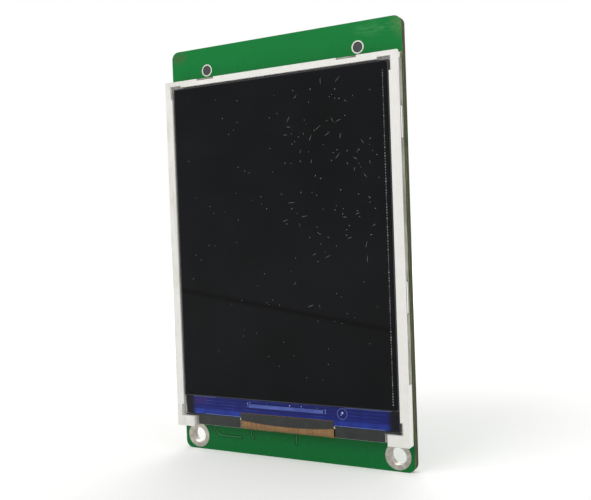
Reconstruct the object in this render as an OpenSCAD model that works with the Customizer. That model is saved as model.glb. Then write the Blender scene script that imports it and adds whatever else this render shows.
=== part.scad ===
// Colour display module: a framed liquid crystal panel on a two-sided circuit board.
// X runs to the right, Z up and the screen looks toward -Y. The front face of the board
// is at y = 0 and the origin lies midway between the two plated mounting holes.

/* [Board] */
// Width of the circuit board
board_w = 50; // [49:0.5:62]
// Height of the circuit board
board_h = 81.5; // [81:0.5:100]
// Thickness of the circuit board
board_t = 1.6; // [1.2:0.1:2.4]
// Corner radius of the circuit board
board_r = 1.5; // [0.5:0.1:3]

/* [Mounting holes] */
// Bore of the two plated holes
mount_d = 3.2; // [2.2:0.1:3.8]
// Outer diameter of the plated rings
ring_d = 5; // [4.4:0.1:5.4]
// Hole centre to the side edge of the board
mount_side = 3.2; // [2.8:0.1:4]
// Hole centre to the bottom edge of the board
mount_edge = 2.8; // [2.7:0.1:3]
// Thickness of the plating in the bores and on both faces
plating_t = 0.05; // [0.03:0.01:0.1]

/* [Display] */
// Width of the display frame
lcd_w = 50; // [48:0.5:60]
// Height of the display frame
lcd_h = 69.7; // [60:0.1:69.9]
// Thickness of the display with its steel tray
lcd_t = 2.3; // [2.3:0.1:3]
// Bottom edge of the display above the bottom edge of the board
lcd_lift = 5.2; // [5.1:0.1:5.8]
// Space between the tray and the board, taken up by tape
tape_t = 0.4; // [0.3:0.05:0.8]
// Width of the frame's rim at the sides
rim_side = 1.6; // [1.2:0.1:2.4]
// Width of the frame's rim at the top
rim_top = 1.25; // [1.2:0.05:2.4]
// Thickness of the steel tray
tray_t = 0.2; // [0.15:0.05:0.25]
// Thickness of each sheet of glass
glass_t = 0.35; // [0.3:0.05:0.4]
// Thickness of the light guide
guide_t = 0.5; // [0.4:0.05:0.6]
// Height of the bare glass ledge that carries the driver chip
ledge_h = 3.7; // [3:0.1:5]

/* [Display flex] */
// Width of the flex where it is bonded to the glass
bond_w = 20.1; // [16:0.1:24]
// Width of the tail that enters the connector
tail_w = 12.1; // [9:0.1:13.2]
// Thickness of the flex
flex_t = 0.12; // [0.08:0.01:0.16]
// Height of the tail's centre line above the mounting holes
tail_z = 14.5; // [13.5:0.1:16]
// Depth of the notch that the tail passes through
notch_d = 3; // [2.9:0.1:4]
// Height of the notch
notch_h = 14.8; // [14:0.1:16]

/* [Flex connector] */
// Number of contacts
fpc_n = 20; // [12:1:20]
// Spacing of the contacts
fpc_pitch = 0.6; // [0.55:0.01:0.62]
// Depth of the housing from its mouth to its back
fpc_depth = 4.4; // [4.2:0.1:5]
// Height of the housing
fpc_h = 2; // [2:0.05:2.4]

/* [Pin header] */
// Pins in each of the two rows
header_n = 15; // [8:1:15]
// Spacing of the pins
header_pitch = 2.54; // [2:0.01:2.54]
// Height of the insulator
header_body_h = 2.54; // [2:0.02:3.6]
// Length of the pins above the insulator
header_pin_l = 6; // [3:0.5:12]
// Side of the square pins
header_pin_s = 0.64; // [0.5:0.02:0.7]
// Header centre line to the top edge of the board
header_edge = 4.6; // [4.4:0.1:4.8]
// Diameter of the two locating pegs
peg_d = 1.8; // [1.2:0.1:1.9]

/* [Wire sockets] */
// Spacing of the contacts in a socket
socket_pitch = 1.25; // [1.2:0.01:1.27]
// Contacts in each socket
socket_n = 4; // [2:1:4]
// Height of a socket housing above its seat
socket_h = 3.6; // [3.4:0.1:4.4]
// Depth of a socket housing from its mouth to its rear face
socket_d = 4.4; // [4.2:0.1:4.7]
// Wall thickness of a socket housing
socket_wall = 0.55; // [0.4:0.05:0.7]

/* [Touch controller] */
// Leads on each side of the chip
chip_leads = 8; // [4:1:8]
// Spacing of the leads
chip_pitch = 0.65; // [0.5:0.05:0.65]
// Height of the chip's body
chip_h = 1; // [0.8:0.05:1.2]

/* [Hidden] */
$fn = 48;

// Small over-travel of a cutting shape
eps = 0.01;

// Board edges
board_lo = -mount_edge;
board_hi = board_h - mount_edge;
board_left = -board_w / 2;
mount_x = board_w / 2 - mount_side;
tooling_d = 1.2;
tooling_low = [board_left + 2, 4.1];
tooling_high = [board_w / 2 - 1.75, board_hi - 7.35];

// Copper and seats on the rear face
copper_t = 0.035;
part_lift = 0.05;
seat = board_t + part_lift;
trace_w = 0.26;

// Notch and tail
notch_floor = board_left + notch_d;
notch_chamfer = 1;

// Display stack, from the board toward -Y
film_t = 0.1;
polar_t = 0.18;
rear_polar_t = 0.15;
y_tray = -tape_t;
y_floor = y_tray - tray_t;
y_reflector = y_floor - film_t;
y_guide = y_reflector - guide_t;
y_diffuser = y_guide - film_t;
y_prism_rear = y_diffuser - film_t;
y_prism_front = y_prism_rear - film_t;
y_array = y_prism_front - rear_polar_t;
y_filter = y_array - glass_t;
y_polar = y_filter - glass_t;
y_front = -tape_t - lcd_t;

// Display outline
lcd_lo = board_lo + lcd_lift;
lcd_hi = lcd_lo + lcd_h;
foot_h = 2.05;
foot_w = 4.1;
sill_lo = lcd_lo + 0.4;
sill_half = lcd_w / 2 - 4.8;
sill_hi = lcd_lo + 2.45;
frame_lo = lcd_lo + foot_h;
pocket_half = lcd_w / 2 - rim_side;
pocket_hi = lcd_hi - rim_top;
pocket_lo = sill_hi;
frame_ledge = 0.6;
well_half = pocket_half - frame_ledge;
well_hi = pocket_hi - frame_ledge;
well_lo = sill_hi + 0.05;
fit_gap = 0.2;
glass_half = pocket_half - fit_gap;
glass_hi = pocket_hi - fit_gap;
glass_lo = sill_hi + 0.1;
filter_lo = glass_lo + ledge_h;
tray_wall_front = y_filter + 0.05;
tray_side_lo = lcd_lo + 11.1;
tray_side_hi = lcd_hi - 1.2;
catch_h = 6;
catch_z = [lcd_hi - 12.4, lcd_hi - 43.3];
clip_x = lcd_w / 2 - 9.7;
clip_w = 4;
clip_cut = 0.35;
clip_front = y_front + 0.3;
corner_cut = 0.35;
corner_cut_l = 2.2;

// Backlight
led_n = 4;
led_size = [3, 0.9];
led_strip_h = 1.3;
guide_lo = well_lo + led_strip_h + 0.1;
film_gap = 0.15;

// Flex path
bond_h = 0.95;
bend_y = y_array - glass_t - flex_t / 2;
run_y = -tape_t / 2;
bend_r = (run_y - bend_y) / 2;
bend_z = lcd_lo + 0.1 + flex_t / 2 + bend_r;
run_hi = tail_z + tail_w / 2 + 0.6;
arch_lift = 0.2;

// Flex connector, measured from its mouth (u) and its seat (v)
fpc_x = notch_floor + 0.6;
fpc_span = (fpc_n - 1) * fpc_pitch;
fpc_len = fpc_span + 1.75;
fpc_lip = 0.7;
fpc_slot_h = 0.36;
fpc_slot_d = 3.4;
fpc_rib_w = 0.3;
fpc_end = 0.65;
contact_t = 0.2;
latch_h = 0.8;
latch_lo = fpc_lip + fpc_slot_h + 0.06;
pivot_u = 1.75;
pivot_v = latch_lo + latch_h / 2;
shaft_r = 0.19;
hook_in = 0.27;
hook_out = 0.44;
latch_window_r = 0.52;
latch_gap = 0.08;
slot_y = seat + fpc_lip + flex_t / 2;
stiffener_t = 0.18;

// Header
header_z = board_hi - header_edge;
header_len = header_n * header_pitch;
header_w = 2 * header_pitch;
header_foot_t = 0.45;
header_reach = 1.4 * header_pitch;
peg_x = (header_n / 2 - 1) * header_pitch;
peg_gap = 0.05;

// Wire sockets
socket_x = [-10.95, 1.4];
socket_w = (socket_n - 1) * socket_pitch + 3.95;
socket_wing_w = 0.9;
socket_wing_h = 2;
socket_wing_d = 3.1;
socket_mouth = board_lo + 0.05;
socket_tab_w = 1;
socket_pin_s = 0.4;
socket_foot_t = 0.2;
socket_foot_l = 1.4;

// Touch controller
chip_at = [-12.6, 36.9];
chip_body = [chip_leads * chip_pitch - 0.2, 4.4];
chip_span = 6.4;
chip_standoff = 0.1;

// Transistor
sot_at = [-18, 28.1];
sot_body = [2.9, 1.3];
sot_span = 2.4;
sot_pitch = 0.95;

// Two-terminal chips: [x, z, turn]
cap_at = [[-15.9, 6.5, 90], [-14.4, 6.5, 90], [15.9, 16.45, 45], [18.5, 19.2, 45], [-16.6, 40.8, 90]];
res_at = [[-17.6, 31, 0], [-18.9, 51.3, 90], [-17.3, 51.3, 90], [-7.5, 31.7, 90]];
chip_l = 1.6;
chip_w = 0.8;
cap_h = 0.8;
res_h = 0.45;
terminal_l = 0.35;

// ---------------------------------------------------------------- helpers

// Plate with its outline in X-Z, its rear face at y_rear and its front t nearer the viewer
module plate(y_rear, t) {
  translate([0, y_rear, 0]) rotate([90, 0, 0]) linear_extrude(height = t) children();
}

// Plate that rises t from the rear seat of the board
module on_board(t, lift = 0) {
  plate(seat + lift + t, t) children();
}

// Bar along X with its outline in Y-Z
module along_x(x, l) {
  translate([x, 0, 0]) rotate([90, 0, 90]) linear_extrude(height = l) children();
}

// Bar along Z with its outline in X-Y
module along_z(z, l) {
  translate([0, 0, z]) linear_extrude(height = l) children();
}

// Rectangle between two corners
module area(x0, z0, x1, z1) {
  translate([x0, z0]) square([x1 - x0, z1 - z0]);
}

// Rectangle with round corners
module round_area(x0, z0, x1, z1, r) {
  area(x0 + r, z0, x1 - r, z1);
  area(x0, z0 + r, x1, z1 - r);
  for (x = [x0 + r, x1 - r]) {
    for (z = [z0 + r, z1 - r]) {
      translate([x, z]) circle(r);
    }
  }
}

// Keeps a shape and its mirror image across x = 0
module both_sides() {
  children();
  mirror([1, 0, 0]) children();
}

function unit(v) = v / norm(v);
function left_of(v) = [-v[1], v[0]];
function course(p, i) = unit(p[min(i + 1, len(p) - 1)] - p[min(i, len(p) - 2)]);
function mitre(p, i) =
  let (a = course(p, max(i - 1, 0)), b = course(p, i))
  (left_of(a) + left_of(b)) / (1 + a * b);

// Outline of a strip of width w that follows the points p
function ribbon(p, w) = concat(
  [for (i = [0 : len(p) - 1]) p[i] + mitre(p, i) * w / 2],
  [for (i = [len(p) - 1 : -1 : 0]) p[i] - mitre(p, i) * w / 2]
);

// Points on an arc
function arc(c, r, from, to, steps) =
  [for (i = [0 : steps]) c + r * [cos(from + (to - from) * i / steps), sin(from + (to - from) * i / steps)]];

// ---------------------------------------------------------------- board

module board_outline() {
  difference() {
    round_area(board_left, board_lo, board_w / 2, board_hi, board_r);
    polygon([
      [board_left - 1, tail_z - notch_h / 2],
      [notch_floor - notch_chamfer, tail_z - notch_h / 2],
      [notch_floor, tail_z - notch_h / 2 + notch_chamfer],
      [notch_floor, tail_z + notch_h / 2 - notch_chamfer],
      [notch_floor - notch_chamfer, tail_z + notch_h / 2],
      [board_left - 1, tail_z + notch_h / 2]
    ]);
  }
}

module circuit_board() {
  color("darkgreen") plate(board_t, board_t) difference() {
    board_outline();
    for (x = [-mount_x, mount_x]) {
      translate([x, 0]) circle(mount_d / 2 + plating_t);
    }
    for (x = [-peg_x, peg_x]) {
      translate([x, header_z]) circle(peg_d / 2 + peg_gap);
    }
    translate(tooling_low) circle(tooling_d / 2);
    translate(tooling_high) circle(tooling_d / 2);
  }
}

// Each bore is lined by one sleeve with a flat ring on both faces
module hole_plating() {
  bore = mount_d / 2;
  for (x = [-mount_x, mount_x]) {
    color("silver") translate([x, board_t / 2, 0]) rotate([90, 0, 0]) rotate_extrude() {
      translate([bore, -board_t / 2]) square([plating_t, board_t]);
      for (y = [-board_t / 2 - plating_t, board_t / 2]) {
        translate([bore, y]) square([ring_d / 2 - bore, plating_t]);
      }
    }
  }
}

module trace(p) {
  polygon(ribbon(p, trace_w));
}

// Fan-out from the flex connector: level, then 45 degrees, then upright to the header
fan_n = 12;
fan_x = fpc_x + fpc_depth + 0.95;
fan_half_pitch = header_pitch / 2;
fan_columns = [15, 14, 12, 11, 9, 8, 6, 5, 3, 2, 1, 0];
fan_turn = [3.2, 0.2, -1.5, -3.3, -5.1, -6.2, -7, -7.9, -8.7, -9.9, -10.5, -12];
lower_pad_z = header_z - header_reach - 0.55;
function column_x(k) = (k - 4) * fan_half_pitch;
function column_end(k) = k % 2 == 0 ? lower_pad_z : header_z - header_w / 2;
function contact_z(i) = tail_z + (i - (fpc_n - 1) / 2) * fpc_pitch;

module fan_traces() {
  for (i = [0 : fan_n - 1]) {
    k = fan_columns[i];
    z = contact_z(i + fpc_n - fan_n - 1);
    trace([
      [fan_x, z],
      [fan_turn[i], z],
      [column_x(k), z + column_x(k) - fan_turn[i]],
      [column_x(k), column_end(k)]
    ]);
  }
  for (k = [4, 7, 10, 13]) {
    z = tail_z + 4.7 + k / 2;
    trace([[column_x(k), z], [column_x(k), column_end(k)]]);
  }
}

// Right-hand socket to the right side of the header
module socket_traces() {
  for (i = [0 : socket_n - 1]) {
    x = socket_x[1] + (i - (socket_n - 1) / 2) * socket_pitch;
    z = 4.2 + (socket_n - 1 - i) * 0.5;
    end_x = 17.6 + i * 0.75;
    trace([
      [x, socket_foot_end() + 0.35],
      [x, z],
      [end_x, z + end_x - x],
      [end_x, lower_pad_z - 10.4]
    ]);
  }
}

// Touch controller: down to the vias and up to the header
module controller_traces() {
  low = chip_at[1] - chip_span / 2 - 0.3;
  high = chip_at[1] + chip_span / 2 + 0.3;
  for (i = [1, 3, 5, 7]) {
    x = chip_at[0] + (i - (chip_leads - 1) / 2) * chip_pitch;
    trace([[x, low], [x, low - 10.5]]);
  }
  for (i = [0, 2, 4, 6]) {
    x = chip_at[0] + (i - (chip_leads - 1) / 2) * chip_pitch;
    shift = 2.1 - i * 0.2;
    turn = high + 7 + i * 0.5;
    trace([[x, high], [x, turn], [x - shift, turn + shift], [x - shift, lower_pad_z - 10.4]]);
  }
  for (i = [0 : 2]) {
    trace([[board_left + 2.6 + i * 0.75, tail_z + 8.6 + i], [board_left + 2.6 + i * 0.75, 46 - i]]);
  }
}

module rear_traces() {
  color("mediumseagreen") plate(board_t + copper_t, copper_t) difference() {
    union() {
      fan_traces();
      socket_traces();
      controller_traces();
    }
    land_areas();
  }
}

// The few conductors that show below the display
module front_traces() {
  color("seagreen") plate(0, copper_t) {
    trace([[1, 4], [1, 0.15]]);
    trace([[-9.1, 4], [-9.1, 0.9], [-8.6, 0.4]]);
    trace([[-18.2, 1.9], [-16.6, 0.35], [-11.4, 0.35]]);
  }
}

function socket_foot_end() = socket_mouth + socket_d + socket_foot_l;

// Tinned lands under every soldered foot on the rear face
module part_lands() {
  color("gainsboro") plate(board_t + copper_t, copper_t) land_areas();
}

module land_areas() {
  for (i = [0 : header_n - 1]) {
    for (s = [-1, 1]) {
      x = (i - (header_n - 1) / 2) * header_pitch;
      z = header_z + s * header_reach;
      area(x - 0.5, z - 0.5, x + 0.5, z + 0.5);
    }
  }
  for (c = socket_x) {
    for (i = [0 : socket_n - 1]) {
      x = c + (i - (socket_n - 1) / 2) * socket_pitch;
      area(x - 0.33, socket_foot_end() - 0.9, x + 0.33, socket_foot_end() + 0.3);
    }
    for (s = [-1, 1]) {
      x = c + s * (socket_w / 2 + socket_wing_w + socket_tab_w / 2);
      area(x - 0.6, socket_mouth + 0.15, x + 0.6, socket_mouth + 3.2);
    }
  }
  for (i = [0 : fpc_n - 1]) {
    area(fpc_x + fpc_depth + 0.1, contact_z(i) - 0.15, fpc_x + fpc_depth + 0.95, contact_z(i) + 0.15);
  }
  for (i = [0 : chip_leads - 1]) {
    for (s = [-1, 1]) {
      x = chip_at[0] + (i - (chip_leads - 1) / 2) * chip_pitch;
      z = chip_at[1] + s * chip_span / 2;
      area(x - 0.17, z - 0.7, x + 0.17, z + 0.3);
    }
  }
  translate(sot_at) rotate(-90) for (p = sot_legs()) {
    translate(p[0]) square([0.8, 0.9], center = true);
  }
  for (c = concat(cap_at, res_at)) {
    translate([c[0], c[1]]) rotate(c[2]) for (s = [-1, 1]) {
      translate([s * chip_l / 2, 0]) square([0.8, chip_w], center = true);
    }
  }
}

// ---------------------------------------------------------------- pin header

function header_cell_side(n, p, w, c) = [
  for (i = [0 : n - 1]) each [
    [(i - n / 2) * p, w / 2 - c],
    [(i - n / 2) * p + c, w / 2],
    [(i + 1 - n / 2) * p - c, w / 2]
  ]
];

// Break-away insulator: every cell has its corners cut off
module header_outline() {
  edge = header_cell_side(header_n, header_pitch, header_w, 0.45);
  last = [header_len / 2, header_w / 2 - 0.45];
  translate([0, header_z]) {
    polygon(concat(edge, [last], [for (p = concat(edge, [last])) -p]));
  }
}

function header_pin_at(i, s) = [(i - (header_n - 1) / 2) * header_pitch, header_z + s * header_pitch / 2];

module header_body() {
  slack = 0.02;
  color("darkslategray") {
    difference() {
      on_board(header_body_h) header_outline();
      for (i = [0 : header_n - 1]) {
        for (s = [-1, 1]) {
          at = header_pin_at(i, s);
          half = header_pin_s / 2 + slack;
          on_board(header_body_h + eps, -eps) area(at[0] - half, at[1] - half, at[0] + half, at[1] + half);
          z0 = s > 0 ? at[1] : at[1] - header_pitch;
          on_board(header_foot_t + 0.2, -eps) area(at[0] - half, z0, at[0] + half, z0 + header_pitch);
        }
      }
    }
    for (x = [-peg_x, peg_x]) {
      translate([x, peg_gap, header_z]) rotate([-90, 0, 0]) cylinder(h = seat - peg_gap + 0.5, d = peg_d);
    }
  }
}

// One pin: a foot on the land, a right angle and a square post with a pointed end
module header_pin(i, s) {
  at = header_pin_at(i, s);
  h = header_pin_s / 2;
  tip = 0.25;
  foot = board_t + copper_t;
  top = seat + header_body_h + header_pin_l;
  reach = header_reach - header_pitch / 2 + 0.35;
  intersection() {
    along_x(at[0] - h, header_pin_s) translate([0, at[1]]) polygon([
      [foot, -s * h],
      [top - 2 * tip, -s * h],
      [top, -s * (h - tip)],
      [top, s * (h - tip)],
      [top - 2 * tip, s * h],
      [foot + header_foot_t, s * h],
      [foot + header_foot_t, s * reach],
      [foot, s * reach]
    ]);
    along_z(at[1] - reach - eps, 2 * (reach + eps)) translate([at[0], 0]) polygon([
      [-h, 0],
      [h, 0],
      [h, top - 2 * tip],
      [h - tip, top],
      [tip - h, top],
      [-h, top - 2 * tip]
    ]);
  }
}

module header_pins() {
  color("gold") for (i = [0 : header_n - 1]) {
    for (s = [-1, 1]) {
      header_pin(i, s);
    }
  }
}

// Solder climbs both flanks of every foot and its outer end
module header_solder() {
  foot = board_t + copper_t;
  rise = header_foot_t * 0.8;
  h = header_pin_s / 2;
  out = 0.17;
  reach = header_reach + 0.35;
  color("lightgray") for (i = [0 : header_n - 1]) {
    for (s = [-1, 1]) {
      x = header_pin_at(i, s)[0];
      for (t = [-1, 1]) {
        z = header_z + s * header_reach;
        along_z(z - 0.45, 0.8) translate([x, foot]) {
          polygon([[t * h, 0], [t * (h + out), 0], [t * (h + out * 0.4), rise * 0.35], [t * h, rise]]);
        }
      }
      along_x(x - h, header_pin_s) translate([foot, header_z + s * reach]) {
        polygon([[0, 0], [0, s * out], [rise * 0.35, s * out * 0.4], [rise, 0]]);
      }
    }
  }
}

// ---------------------------------------------------------------- wire sockets

// Side-entry housing: its mouth faces down at the bottom edge of the board
module socket_housing(c) {
  half = socket_w / 2;
  inner = half - socket_wall;
  rear = 1;
  top = seat + socket_h;
  cavity_lo = seat + socket_wall;
  cavity_hi = top - socket_wall;
  lo = socket_mouth;
  hi = socket_mouth + socket_d;
  edge = 0.15;
  color("wheat") difference() {
    union() {
      along_x(c - half, socket_w) polygon([
        [seat, lo],
        [top - edge, lo],
        [top, lo + edge],
        [top, hi],
        [top - 1.1, hi],
        [top - 1.4, hi - 0.15],
        [seat, hi - 0.15]
      ]);
      // Shoulders that carry the hold-down tabs
      for (s = [-1, 1]) {
        along_x(c + s * (half + socket_wing_w / 2) - socket_wing_w / 2, socket_wing_w) polygon([
          [seat, lo],
          [seat + socket_wing_h - edge, lo],
          [seat + socket_wing_h, lo + edge],
          [seat + socket_wing_h, lo + socket_wing_d],
          [seat, lo + socket_wing_d]
        ]);
      }
    }
    // Mating cavity
    translate([c - inner, cavity_lo, lo - 1]) cube([2 * inner, cavity_hi - cavity_lo, socket_d - rear + 1]);
    // Key way and two nicks in the top wall at the mouth
    translate([c - inner * 0.72, cavity_hi - eps, lo - 1]) cube([1.8, socket_wall + 1, 1.6]);
    for (x = [0.6, 1.9]) {
      translate([c + x - 0.15, cavity_hi - eps, lo - 1]) cube([0.3, socket_wall + 1, 1.3]);
    }
    for (s = [-1, 1]) {
      // Slot of the hold-down tab
      translate([c + s * (half + socket_wing_w) - 0.25, seat - eps, lo + 0.4]) {
        cube([0.5, socket_wing_h * 0.75, 2.2]);
      }
    }
    for (i = [0 : socket_n - 1]) {
      x = c + (i - (socket_n - 1) / 2) * socket_pitch;
      // Passage of the contact
      translate([x - socket_pin_s / 2, seat + socket_h / 2 - socket_pin_s / 2, lo + 1]) {
        cube([socket_pin_s, socket_pin_s, socket_d]);
      }
      // Groove behind the drop of the contact
      translate([x - socket_pin_s / 2 - 0.1, seat - eps, hi - 0.5]) {
        cube([socket_pin_s + 0.2, socket_h * 0.6, 1]);
      }
      // Notch in the rear edge of the top
      translate([x - 0.22, top - 0.8, hi - 0.7]) cube([0.44, 1, 1]);
    }
  }
}

// Prong in the cavity, drop behind the rear wall and foot on the land
module socket_pins(c) {
  y = seat + socket_h / 2;
  h = socket_pin_s / 2;
  foot = board_t + copper_t;
  hi = socket_mouth + socket_d;
  color("gold") for (i = [0 : socket_n - 1]) {
    x = c + (i - (socket_n - 1) / 2) * socket_pitch;
    along_x(x - h, socket_pin_s) polygon([
      [y - h + 0.1, socket_mouth + 0.8],
      [y + h - 0.1, socket_mouth + 0.8],
      [y + h, socket_mouth + 1.1],
      [y + h, hi - 0.1],
      [foot + socket_foot_t + 0.25, hi + 0.07],
      [foot + socket_foot_t, hi + 0.25],
      [foot + socket_foot_t, socket_foot_end()],
      [foot, socket_foot_end()],
      [foot, hi + 0.1],
      [foot + 0.15, hi - 0.15],
      [y - h, hi - 0.45],
      [y - h, socket_mouth + 1.1]
    ]);
  }
}

// Bent tabs that hold the housing's shoulders to the board
module socket_tabs(c) {
  half = socket_w / 2 + socket_wing_w;
  t = 0.2;
  foot = board_t + copper_t;
  for (s = [-1, 1]) {
    color("silver") along_z(socket_mouth + 0.45, 2.1) translate([c, 0]) polygon([
      [s * (half - 0.22), foot + 0.3],
      [s * (half - 0.22), seat + socket_wing_h * 0.7],
      [s * (half - 0.22 + t), seat + socket_wing_h * 0.7],
      [s * (half - 0.22 + t), foot + 0.4],
      [s * (half + 0.2), foot + t],
      [s * (half + socket_tab_w), foot + t],
      [s * (half + socket_tab_w), foot],
      [s * (half + 0.1), foot]
    ]);
  }
}

module socket_left() {
  socket_housing(socket_x[0]);
}

module socket_left_contacts() {
  socket_pins(socket_x[0]);
}

module socket_left_tabs() {
  socket_tabs(socket_x[0]);
}

module socket_right() {
  socket_housing(socket_x[1]);
}

module socket_right_contacts() {
  socket_pins(socket_x[1]);
}

module socket_right_tabs() {
  socket_tabs(socket_x[1]);
}

// ---------------------------------------------------------------- flex connector

// Bar along Z, centred on the tail, with its outline drawn from the mouth and the seat
module fpc_bar(l, z = 0) {
  along_z(tail_z + z - l / 2, l) translate([fpc_x, seat]) children();
}

module fpc_disc(l, z, r) {
  fpc_bar(l, z) translate([pivot_u, pivot_v]) circle(r);
}

module flex_connector() {
  wall_u = pivot_u - 0.42;
  block_u = pivot_u + latch_h / 2 + 0.1;
  end_z = (fpc_len - fpc_end) / 2;
  color("dimgray") difference() {
    union() {
      fpc_bar(fpc_len) {
        area(0, 0, fpc_depth, fpc_lip);
        polygon([
          [block_u, 0],
          [fpc_depth, 0],
          [fpc_depth, fpc_h - 0.35],
          [fpc_depth - 0.35, fpc_h],
          [block_u, fpc_h]
        ]);
      }
      for (s = [-1, 1]) {
        fpc_bar(fpc_end, s * end_z) {
          area(wall_u, 0, fpc_depth - 1, pivot_v);
          area(pivot_u, 0, fpc_depth - 1, pivot_v + 0.42);
          translate([pivot_u, pivot_v]) circle(0.42);
        }
        // Guides beside the tail
        fpc_bar((fpc_len - tail_w) / 2 - 0.1, s * (fpc_len + tail_w + 0.2) / 4) {
          area(0, 0, wall_u + eps, latch_lo - 0.06);
        }
      }
    }
    // Passage of the tail
    fpc_bar(tail_w + 0.2) area(-1, fpc_lip, fpc_slot_d, fpc_lip + fpc_slot_h);
    // One cell for each contact
    for (i = [0 : fpc_n - 1]) {
      fpc_bar(fpc_rib_w, contact_z(i) - tail_z) {
        area(0.6, 0.16, fpc_depth + 1, fpc_h - 0.3);
        area(fpc_depth - 0.5, -eps, fpc_depth + 1, 0.2);
      }
    }
    // Bearings of the latch
    for (s = [-1, 1]) {
      fpc_disc(fpc_end + 1, s * (end_z + 0.2), shaft_r + 0.07);
    }
  }
}

// Stamped contact: lower spring, spine, upper arm with a hook round the latch's shaft, and foot
module fpc_contact_outline() {
  foot = copper_t - part_lift;
  back = fpc_depth - 0.15;
  hook_from = -25;
  hook_to = 120;
  polygon(concat(
    [
      [back + 0.75, foot],
      [back + 0.75, foot + 0.16],
      [back + 0.3, foot + 0.16],
      [back, foot + 0.42],
      [back, fpc_h - 0.36],
      [back - 0.5, fpc_h - 0.36],
      [pivot_u + 0.75, pivot_v + 0.12]
    ],
    arc([pivot_u, pivot_v], hook_out, 15, hook_to, 12),
    arc([pivot_u, pivot_v], hook_in, hook_to, hook_from, 14),
    [
      [pivot_u + 0.75, pivot_v - 0.2],
      [back - 0.6, pivot_v - 0.25],
      [back - 0.6, 0.42],
      [1.5, 0.42],
      [1.15, fpc_lip - 0.04],
      [0.95, fpc_lip - 0.04],
      [0.8, 0.42],
      [0.8, 0.24],
      [back - 0.1, 0.2],
      [back + 0.15, foot]
    ]
  ));
}

module flex_connector_contacts() {
  color("gold") for (i = [0 : fpc_n - 1]) {
    fpc_bar(contact_t, contact_z(i) - tail_z) fpc_contact_outline();
  }
}

// Solder nails at both ends of the housing
module flex_connector_anchors() {
  foot = board_t + copper_t;
  mid = fpc_x + fpc_depth / 2 + 0.6;
  half = fpc_len / 2;
  color("silver") for (s = [-1, 1]) {
    along_x(mid - 0.6, 1.2) translate([0, tail_z]) polygon([
      [foot, s * (half + 0.02)],
      [seat + 1.1, s * (half + 0.02)],
      [seat + 1.1, s * (half + 0.17)],
      [foot + 0.25, s * (half + 0.17)],
      [foot + 0.15, s * (half + 0.6)],
      [foot, s * (half + 0.6)]
    ]);
  }
}

// Flip latch: it turns about its shaft, which the contacts' hooks hold down
module flex_latch() {
  inner = fpc_len - 2 * fpc_end - 2 * latch_gap;
  reach = latch_window_r;
  color("rosybrown") {
    difference() {
      union() {
        // Pressing bar over the whole length, with its front corners cut off
        intersection() {
          fpc_bar(fpc_len) polygon([
            [0.05, latch_lo + 0.15],
            [0.2, latch_lo],
            [pivot_u - reach, latch_lo],
            [pivot_u - reach, latch_lo + latch_h],
            [0.3, latch_lo + latch_h],
            [0.05, latch_lo + latch_h - 0.25]
          ]);
          on_board(fpc_h + 1) translate([fpc_x, tail_z]) polygon([
            [0, 0.6 - fpc_len / 2],
            [0.6, -fpc_len / 2],
            [pivot_u, -fpc_len / 2],
            [pivot_u, fpc_len / 2],
            [0.6, fpc_len / 2],
            [0, fpc_len / 2 - 0.6]
          ]);
        }
        fpc_bar(inner) {
          area(pivot_u - reach - 0.2, latch_lo, pivot_u, latch_lo + latch_h);
          translate([pivot_u, pivot_v]) circle(latch_h / 2);
        }
      }
      // Windows for the hooks
      for (i = [0 : fpc_n - 1]) {
        fpc_disc(contact_t + 0.12, contact_z(i) - tail_z, latch_window_r);
      }
    }
    fpc_disc(fpc_len - 0.3, 0, shaft_r);
  }
}

// ---------------------------------------------------------------- chips

// Moulded body with drafted sides and a marked corner
module moulded_body(at, size, h, draft, turn = 0) {
  base = seat + chip_standoff;
  mid = h * 0.45;
  translate([at[0], 0, at[1]]) rotate([0, -turn, 0]) difference() {
    intersection() {
      along_z(-size[1] / 2, size[1]) polygon([
        [draft - size[0] / 2, base],
        [size[0] / 2 - draft, base],
        [size[0] / 2, base + mid],
        [size[0] / 2 - draft, base + h],
        [draft - size[0] / 2, base + h],
        [-size[0] / 2, base + mid]
      ]);
      along_x(-size[0] / 2, size[0]) polygon([
        [base, draft - size[1] / 2],
        [base, size[1] / 2 - draft],
        [base + mid, size[1] / 2],
        [base + h, size[1] / 2 - draft],
        [base + h, draft - size[1] / 2],
        [base + mid, -size[1] / 2]
      ]);
    }
    if (size[0] > 3) {
      translate([0.75 - size[0] / 2, base + h + 1, 0.75 - size[1] / 2]) rotate([90, 0, 0]) {
        cylinder(h = 1.06, r = 0.3);
      }
    }
  }
}

// Gull-wing lead: outline in Y-Z with the body's edge at z = near and the toe at z = far
module gull_lead(x, w, near, far, mid) {
  s = sign(far);
  foot = board_t + copper_t;
  t = 0.15;
  shoulder = near + s * 0.28;
  knee = near + s * 0.42;
  along_x(x - w / 2, w) polygon([
    [mid - t / 2, near],
    [mid + t / 2, near],
    [mid + t / 2, shoulder + s * 0.05],
    [foot + t, knee + s * 0.12],
    [foot + t, far],
    [foot, far],
    [foot, knee],
    [mid - t / 2, shoulder - s * 0.08]
  ]);
}

module touch_controller() {
  color("darkslategray") moulded_body(chip_at, chip_body, chip_h, 0.12);
}

module touch_controller_leads() {
  mid = seat + chip_standoff + chip_h * 0.45;
  color("silver") translate([chip_at[0], 0, chip_at[1]]) for (i = [0 : chip_leads - 1]) {
    for (s = [-1, 1]) {
      gull_lead((i - (chip_leads - 1) / 2) * chip_pitch, 0.22, s * chip_body[1] / 2, s * chip_span / 2, mid);
    }
  }
}

// Leg centres, before the quarter turn, each with its side
function sot_legs() = [
  [[-sot_pitch, sot_span / 2 - 0.1], 1],
  [[sot_pitch, sot_span / 2 - 0.1], 1],
  [[0, 0.1 - sot_span / 2], -1]
];

module transistor() {
  color("dimgray") moulded_body(sot_at, sot_body, 0.95, 0.1, -90);
}

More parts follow.
